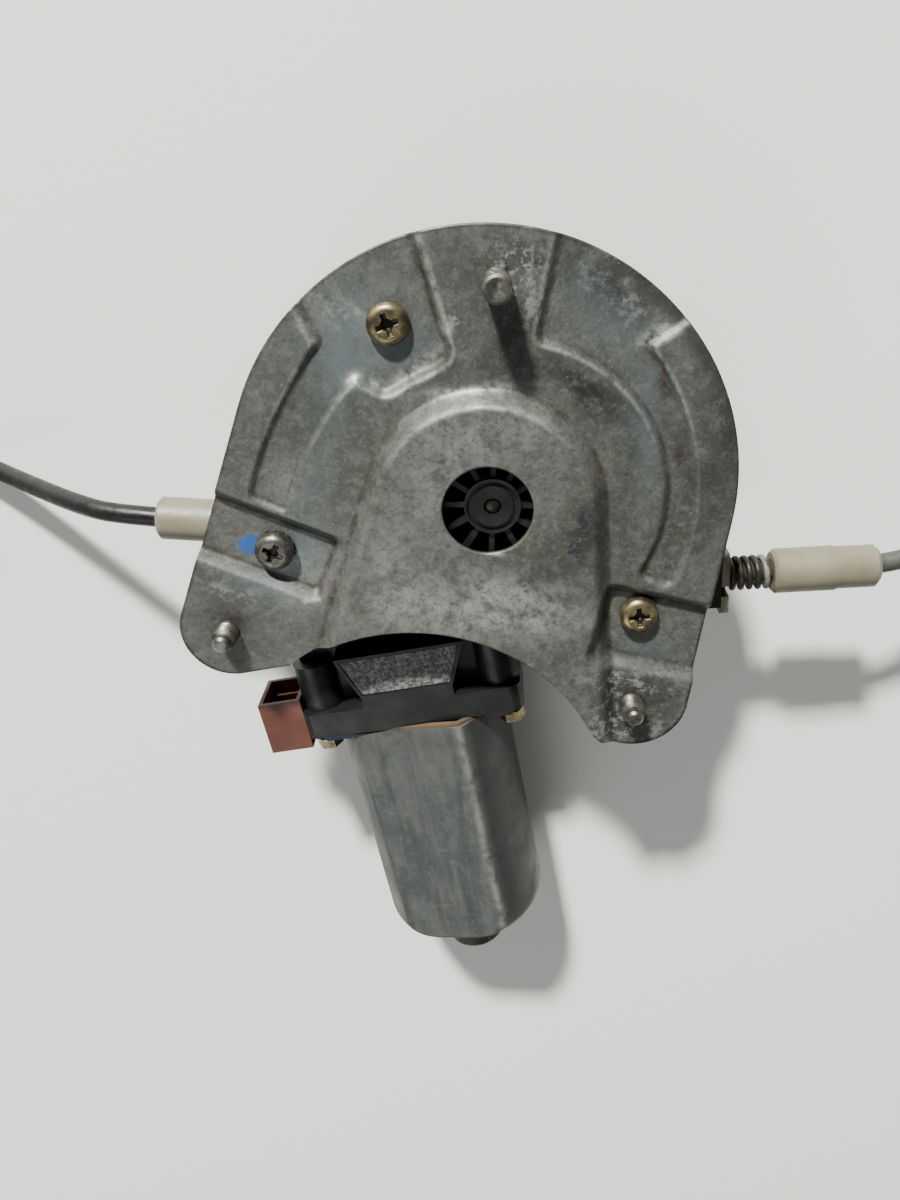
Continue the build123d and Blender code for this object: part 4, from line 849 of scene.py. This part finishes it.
def makeScrew(name):
    # height(x, y) = head - edge * (1 - sqrt(1 - s^2)) over the outer ring, less the cross recess
    x, y, seat, turn = screws["places"][name]
    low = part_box("cover_screw_" + name)[0][2] / mm
    full, edge, recess = screws["headRadius"], screws["edge"], screws["recess"]
    rounded = full - edge * (1 - np.cos(np.linspace(0, math.pi / 2, screws["edgeRings"])))
    radii = np.concatenate([rounded, np.linspace(full - edge, screws["centreRadius"], screws["across"])[1:]])
    share = np.clip((radii - full + edge) / edge, 0, 1)
    drop = edge * (1 - np.sqrt(1 - share ** 2))
    turns = wholeTurn(screws["around"])
    across, up = np.cos(turns)[None] * radii[:, None], np.sin(turns)[None] * radii[:, None]
    first = np.maximum(np.abs(across) - recess["reach"], np.abs(up) - recess["half"])
    second = np.maximum(np.abs(across) - recess["half"], np.abs(up) - recess["reach"])
    hollow = smoothRise(-np.minimum(first, second) / screws["wallWidth"])
    hollow = hollow * (1 - recess["taper"] * radii[:, None] / recess["reach"])
    hollow = np.maximum(hollow, smoothRise((recess["core"] - radii[:, None]) / recess["coreEdge"]))
    inside = radii[:, None] < full - edge + recess["margin"]
    crown = screws["head"] - drop[:, None] - recess["depth"] * hollow * inside
    ring = np.stack([np.cos(turns), np.sin(turns)], -1)
    skirt = [np.column_stack([radius * ring, np.full(len(turns), height)])
             for height, radius in ((low, screws["shank"]), (seat, screws["shank"]), (seat, full))]
    grid = np.array(skirt + list(np.stack([across, up, seat + crown], -1)))
    flat = (x, y) + grid[..., :1] * polar(1, turn) + grid[..., 1:2] * polar(1, turn + 90)
    points = np.concatenate([flat, grid[..., 2:]], -1)
    slot = slotOf["cover_screw_" + name]
    faces = ringFaces(len(grid), len(turns), True)
    piece = meshFrom("head_" + name, points.reshape(-1, 3), faces, slot, "base")
    # Painted shade and dirt in the cross recess, darkest where it is deepest
    gain, less = screws["dirt_and_shade"]
    clean = np.zeros((len(skirt), len(turns)))
    spread(piece, "dirt_and_shade", np.concatenate([clean, smoothRise(hollow * gain - less)]).ravel())
    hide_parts("cover_screw_" + name)


for name in studs["places"]:
    makeStud(name)
for name in screws["places"]:
    makeScrew(name)
print("stage: studs and screws")

# Tension spring: open coil between the seat's flange and the adjuster

spring = {
    "place": (58.0, -23.8, -15.6), "turn": 4.6, "start": 1.9, "length": 11.4, "wire": 0.72, "radius": 3.75,
    "turns": 4.7, "travel": 2.4, "steps": 400, "around": 16, "greyFrom": 3.6, "greyOver": 0.25,
    "greaseAndShade": 0.9, "flange": -1,
}


def makeSpring():
    # centre line(t) = seat + radius * (cos, sin)(360 t * turns) + rise * t along the axis
    origin, across, up, ahead = axisFrame(spring["place"], spring["turn"])
    steps = np.linspace(0, 1, spring["steps"])
    turned = 2 * math.pi * spring["turns"] * steps
    rise = spring["start"] + spring["wire"] + (spring["length"] - 2 * spring["wire"]) * steps
    wound = spring["radius"] * (np.cos(turned)[:, None] * across + np.sin(turned)[:, None] * up)
    line = origin + wound + rise[:, None] * ahead
    piece = tubeAlong("spring_coil", line, spring["wire"], "spring_steel", "base", spring["around"])
    grey = smoothRise(steps * spring["turns"], spring["greyFrom"], spring["greyOver"])
    spread(piece, "pale", np.repeat(grey, spring["around"]))
    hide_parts("tension_spring")
    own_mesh(piece)


makeSpring()
print("stage: spring")

# Axle and guide tube: copies of their shapes, the axle rusty, the guide tube greasy and with painted shade inside
# the spring

copies = {"mergeDistance": 1e-6, "axleRust": 0.93}


def dressedCopy(node, body, label, shareAt):
    # Copy of a CAD shape with its doubled points merged and one mark on it, worked out from each point's place
    source = frame["nodes"][node]
    shape = bmesh.new()
    shape.from_mesh(source.data)
    bmesh.ops.transform(shape, matrix=source.matrix_world, verts=shape.verts)
    bmesh.ops.remove_doubles(shape, verts=shape.verts, dist=copies["mergeDistance"])
    mesh = bpy.data.meshes.new("worn_" + node)
    shape.to_mesh(mesh)
    shape.free()
    piece = placed("worn_" + node, mesh)
    mesh.materials.clear()
    mesh.materials.append(looks[slotOf[node]])
    mesh.polygons.foreach_set("use_smooth", [True] * len(mesh.polygons))
    sharpened(piece)
    places = np.empty(3 * len(mesh.vertices))
    mesh.vertices.foreach_get("co", places)
    spread(piece, label, shareAt(places.reshape(-1, 3) / mm))
    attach(piece, body)
    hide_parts(node)


def tubeGreaseAndShade(places):
    # Grease and painted shade on the guide tube inside the spring, none on the seat's flange
    origin, across, up, ahead = axisFrame(spring["place"], spring["turn"])
    shift = places - origin
    off = np.hypot(shift @ across, shift @ up)
    return spring["greaseAndShade"] * ((off < spring["radius"]) & (shift @ ahead > spring["flange"]))


dressedCopy("drum_axle", "base", "dirt_and_shade", lambda places: np.full(len(places), copies["axleRust"]))
dressedCopy("right_seat", "base", "dirt_and_shade", tubeGreaseAndShade)
print("stage: axle and guide tube")

# Motor can: drawn double-flat cup, round where its flats run out, with the bearing pot at its end

can = {
    "mouth": 62.0, "end": 139.0, "radius": 24.0, "flat": 19.0, "turn": 8.0, "roundEdge": 7.5, "flatEdge": 2.2,
    "ridge": 1.2, "ridgeDrop": 0.5, "potRadius": 9.0, "pot": 14.0, "potEdge": 2.0, "potFoot": (1.0, 0.3),
    "endRings": (5.0, 3.0, 1.0), "around": 240, "wallRows": 60, "edgeRows": 26, "baseRows": 10, "potRows": 12,
    "earHalf": (29.6, 15.1), "earThick": 2.0, "earCorner": 4.0,
    # Wear and painted highlight, dirt and painted shade, as place along the motor, width and strength
    "ridgeWearAndHighlight": (2.2, 0.8), "edgeWear": (-1.2, 1.6, 0.25), "edgeDirt": (-0.5, 2.2, 0.6, 0.4), "potDirt": 0.8,
    "mouthDirt": (66, 3.5, 0.25), "earDirt": 0.6, "bluePaint": 5, "shade": (0.75, 10), "shadeEnd": (120, 15, 0.25),
    "sharp": 40,
}


def onMotor(side, up, along):
    # Points of the motor's own frame placed beside the worm wheel
    return np.stack([sideWay[0] * (side - motor["offset"]) + motorWay[0] * along,
                     sideWay[1] * (side - motor["offset"]) + motorWay[1] * along, motor["height"] + up], -1)


def bell(value, width):
    # 1 at zero, falling off to both sides: exp(-(value / width)^2)
    return np.exp(-(value / width) ** 2)


def canReach(turns, fromEnd):
    # radius(turn) = the lesser of the round wall and flat / |sin(turn)|, blended over the ridge
    level = np.maximum(np.abs(np.sin(turns - math.radians(can["turn"]))), 1e-3)
    roundIn, flatIn = (edge - math.sqrt(edge ** 2 - max(edge - fromEnd, 0) ** 2)
                       for edge in (can["roundEdge"], can["flatEdge"]))
    wall, flat = can["radius"] - roundIn, (can["flat"] - flatIn) / level
    blend = np.clip(0.5 + (flat - wall) / (2 * can["ridge"]), 0, 1)
    return flat * (1 - blend) + wall * blend - can["ridge"] * blend * (1 - blend) * can["ridgeDrop"]


def canRows(turns):
    # Distance along the motor and reach of every ring: wall, drawn-in edge, base, and the pot's rounded end
    end, pot, edge = can["end"], can["potRadius"], can["potEdge"]
    even = np.ones(len(turns))
    rows = [(along, canReach(turns, end - along))
            for along in np.linspace(can["mouth"], end - can["roundEdge"], can["wallRows"])]
    near = can["roundEdge"] * (1 - np.sin(np.linspace(0, math.pi / 2, can["edgeRows"])))
    rows += [(end - gap, canReach(turns, gap)) for gap in near[1:]]
    inner = canReach(turns, 0)
    out, lift = can["potFoot"]
    rows += [(end, inner + (pot + out - inner) * share) for share in np.linspace(0, 1, can["baseRows"])[1:]]
    rows += [(end + lift, even * (pot + lift)), (end + out, even * pot)]
    rows += [(end + can["pot"] - edge * (1 - math.sin(bend)), even * (pot - edge * (1 - math.cos(bend))))
             for bend in np.radians(np.linspace(0, 90, can["potRows"]))]
    rows += [(end + can["pot"], even * radius) for radius in can["endRings"]]
    return np.array([row[0] for row in rows])[:, None], np.array([row[1] for row in rows])


def canWearAndPaintedLight(turns, along):
    # Bright ridge, worn and painted as highlight, a worn end edge, dirt at the end, the mouth and on the pot, and
    # painted shade on the right and lower side, turned from the light
    degrees, end = np.degrees(turns), can["end"]
    ridgeTurn = can["turn"] + math.degrees(math.asin(can["flat"] / can["radius"]))
    # Wear and painted highlight along the ridge where the flat meets the round wall
    width, strength = can["ridgeWearAndHighlight"]
    place, edge, edgeStrength = can["edgeWear"]
    wear_and_highlight = strength * bell((degrees - ridgeTurn + 180) % 360 - 180, width)
    wear_and_highlight = wear_and_highlight + edgeStrength * bell(along - end - place, edge)
    place, width, strength, swing = can["edgeDirt"]
    dirt_and_shade = bell(along - end - place, width) * (strength + swing * np.cos(3 * turns))
    place, width, strength = can["mouthDirt"]
    dirt_and_shade = dirt_and_shade + strength * bell(along - place, width) + can["potDirt"] * (along > end + can["potFoot"][0])
    # Painted shade: the right and lower side of the can, turned from the light, a little lighter towards the end
    strength, width = can["shade"]
    place, over, less = can["shadeEnd"]
    dark = strength * smoothRise((ridgeTurn - degrees) / width) * (np.cos(turns) > 0)
    dark = dark * (1 - less * smoothRise(along, place, over))
    return {"wear_and_highlight": wear_and_highlight, "dirt_and_shade": dirt_and_shade, "dark": dark, "blue": 0 * wear_and_highlight}


def makeCan():
    turns = wholeTurn(can["around"])
    along, reach = canRows(turns)
    skin = onMotor(reach * np.cos(turns), reach * np.sin(turns), along * np.ones(len(turns)))
    # Ears: flat plate with clipped corners between the can's mouth and the housing's flange
    wide, tall, corner = *can["earHalf"], can["earCorner"]
    side, end = wide - corner, tall - corner
    outline = np.array([(wide, -end), (wide, end), (side, tall), (-side, tall),
                        (-wide, end), (-wide, -end), (-side, -tall), (side, -tall)])
    levels = [can["mouth"], can["mouth"] + can["earThick"]]
    ears = np.array([onMotor(outline[:, 0], outline[:, 1], np.full(len(outline), level)) for level in levels])
    points = np.vstack([skin.reshape(-1, 3), ears.reshape(-1, 3)])
    faces = ringFaces(len(along), len(turns), True)
    faces += [[reach.size + number for number in face] for face in ringFaces(2, len(outline), True)]
    piece = meshFrom("can_skin", points, faces, "can_steel", "base")
    paint = bell(outline[:, 0] + wide, can["bluePaint"]) * (outline[:, 1] > 0)
    onEars = {"dirt_and_shade": np.full(len(outline), can["earDirt"]), "blue": paint}
    for label, values in canWearAndPaintedLight(turns, along).items():
        onEar = onEars.get(label, np.zeros(len(outline)))
        spread(piece, label, np.concatenate([np.clip(values, 0, 1).ravel(), onEar, onEar]))
    sharpened(piece, can["sharp"])
    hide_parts("motor_can")


makeCan()
print("stage: motor can")

# Table and light

tableTop = {"half": 3.0, "level": -0.046}
half, level = tableTop["half"], tableTop["level"]
corners = [(-half, -half, level), (half, -half, level), (half, half, level), (-half, half, level)]
floorMesh = bpy.data.meshes.new("table")
floorMesh.from_pydata(corners, [], [(0, 1, 2, 3)])
table = placed("table", floorMesh)
paper = Finish("table_top", (0.80, 0.81, 0.765), 0.8)
paper.bump(paper.noise(400, 4), 0.0003, 0.12)
table.data.materials.append(paper.material)

world = bpy.data.worlds.new("room")
bpy.context.scene.world = world
world.use_nodes = True
sky = world.node_tree.nodes["Background"]
sky.inputs["Color"].default_value = (0.98, 0.985, 0.97, 1)
sky.inputs["Strength"].default_value = 0.22


def areaLight(name, place, target, size, power, colour, shine=1.0):
    data = bpy.data.lights.new(name, "AREA")
    data.shape = "RECTANGLE"
    data.size, data.size_y = size
    data.energy = power
    data.color = colour
    data.specular_factor = shine
    lamp = placed(name, data)
    lamp.location = place
    lamp.rotation_euler = (Vector(target) - Vector(place)).to_track_quat("-Z", "Y").to_euler()


areaLight("window", (-1.05, 3.26, 1.92), (0, -0.05, 0), (0.34, 0.27), 545, (1.0, 0.985, 0.95))
areaLight("ceiling", (-0.6, -1.0, 1.2), (-0.2, -0.3, 0), (1.0, 1.0), 8.5, (0.97, 0.98, 0.98), 0.1)
print("stage: table and light")
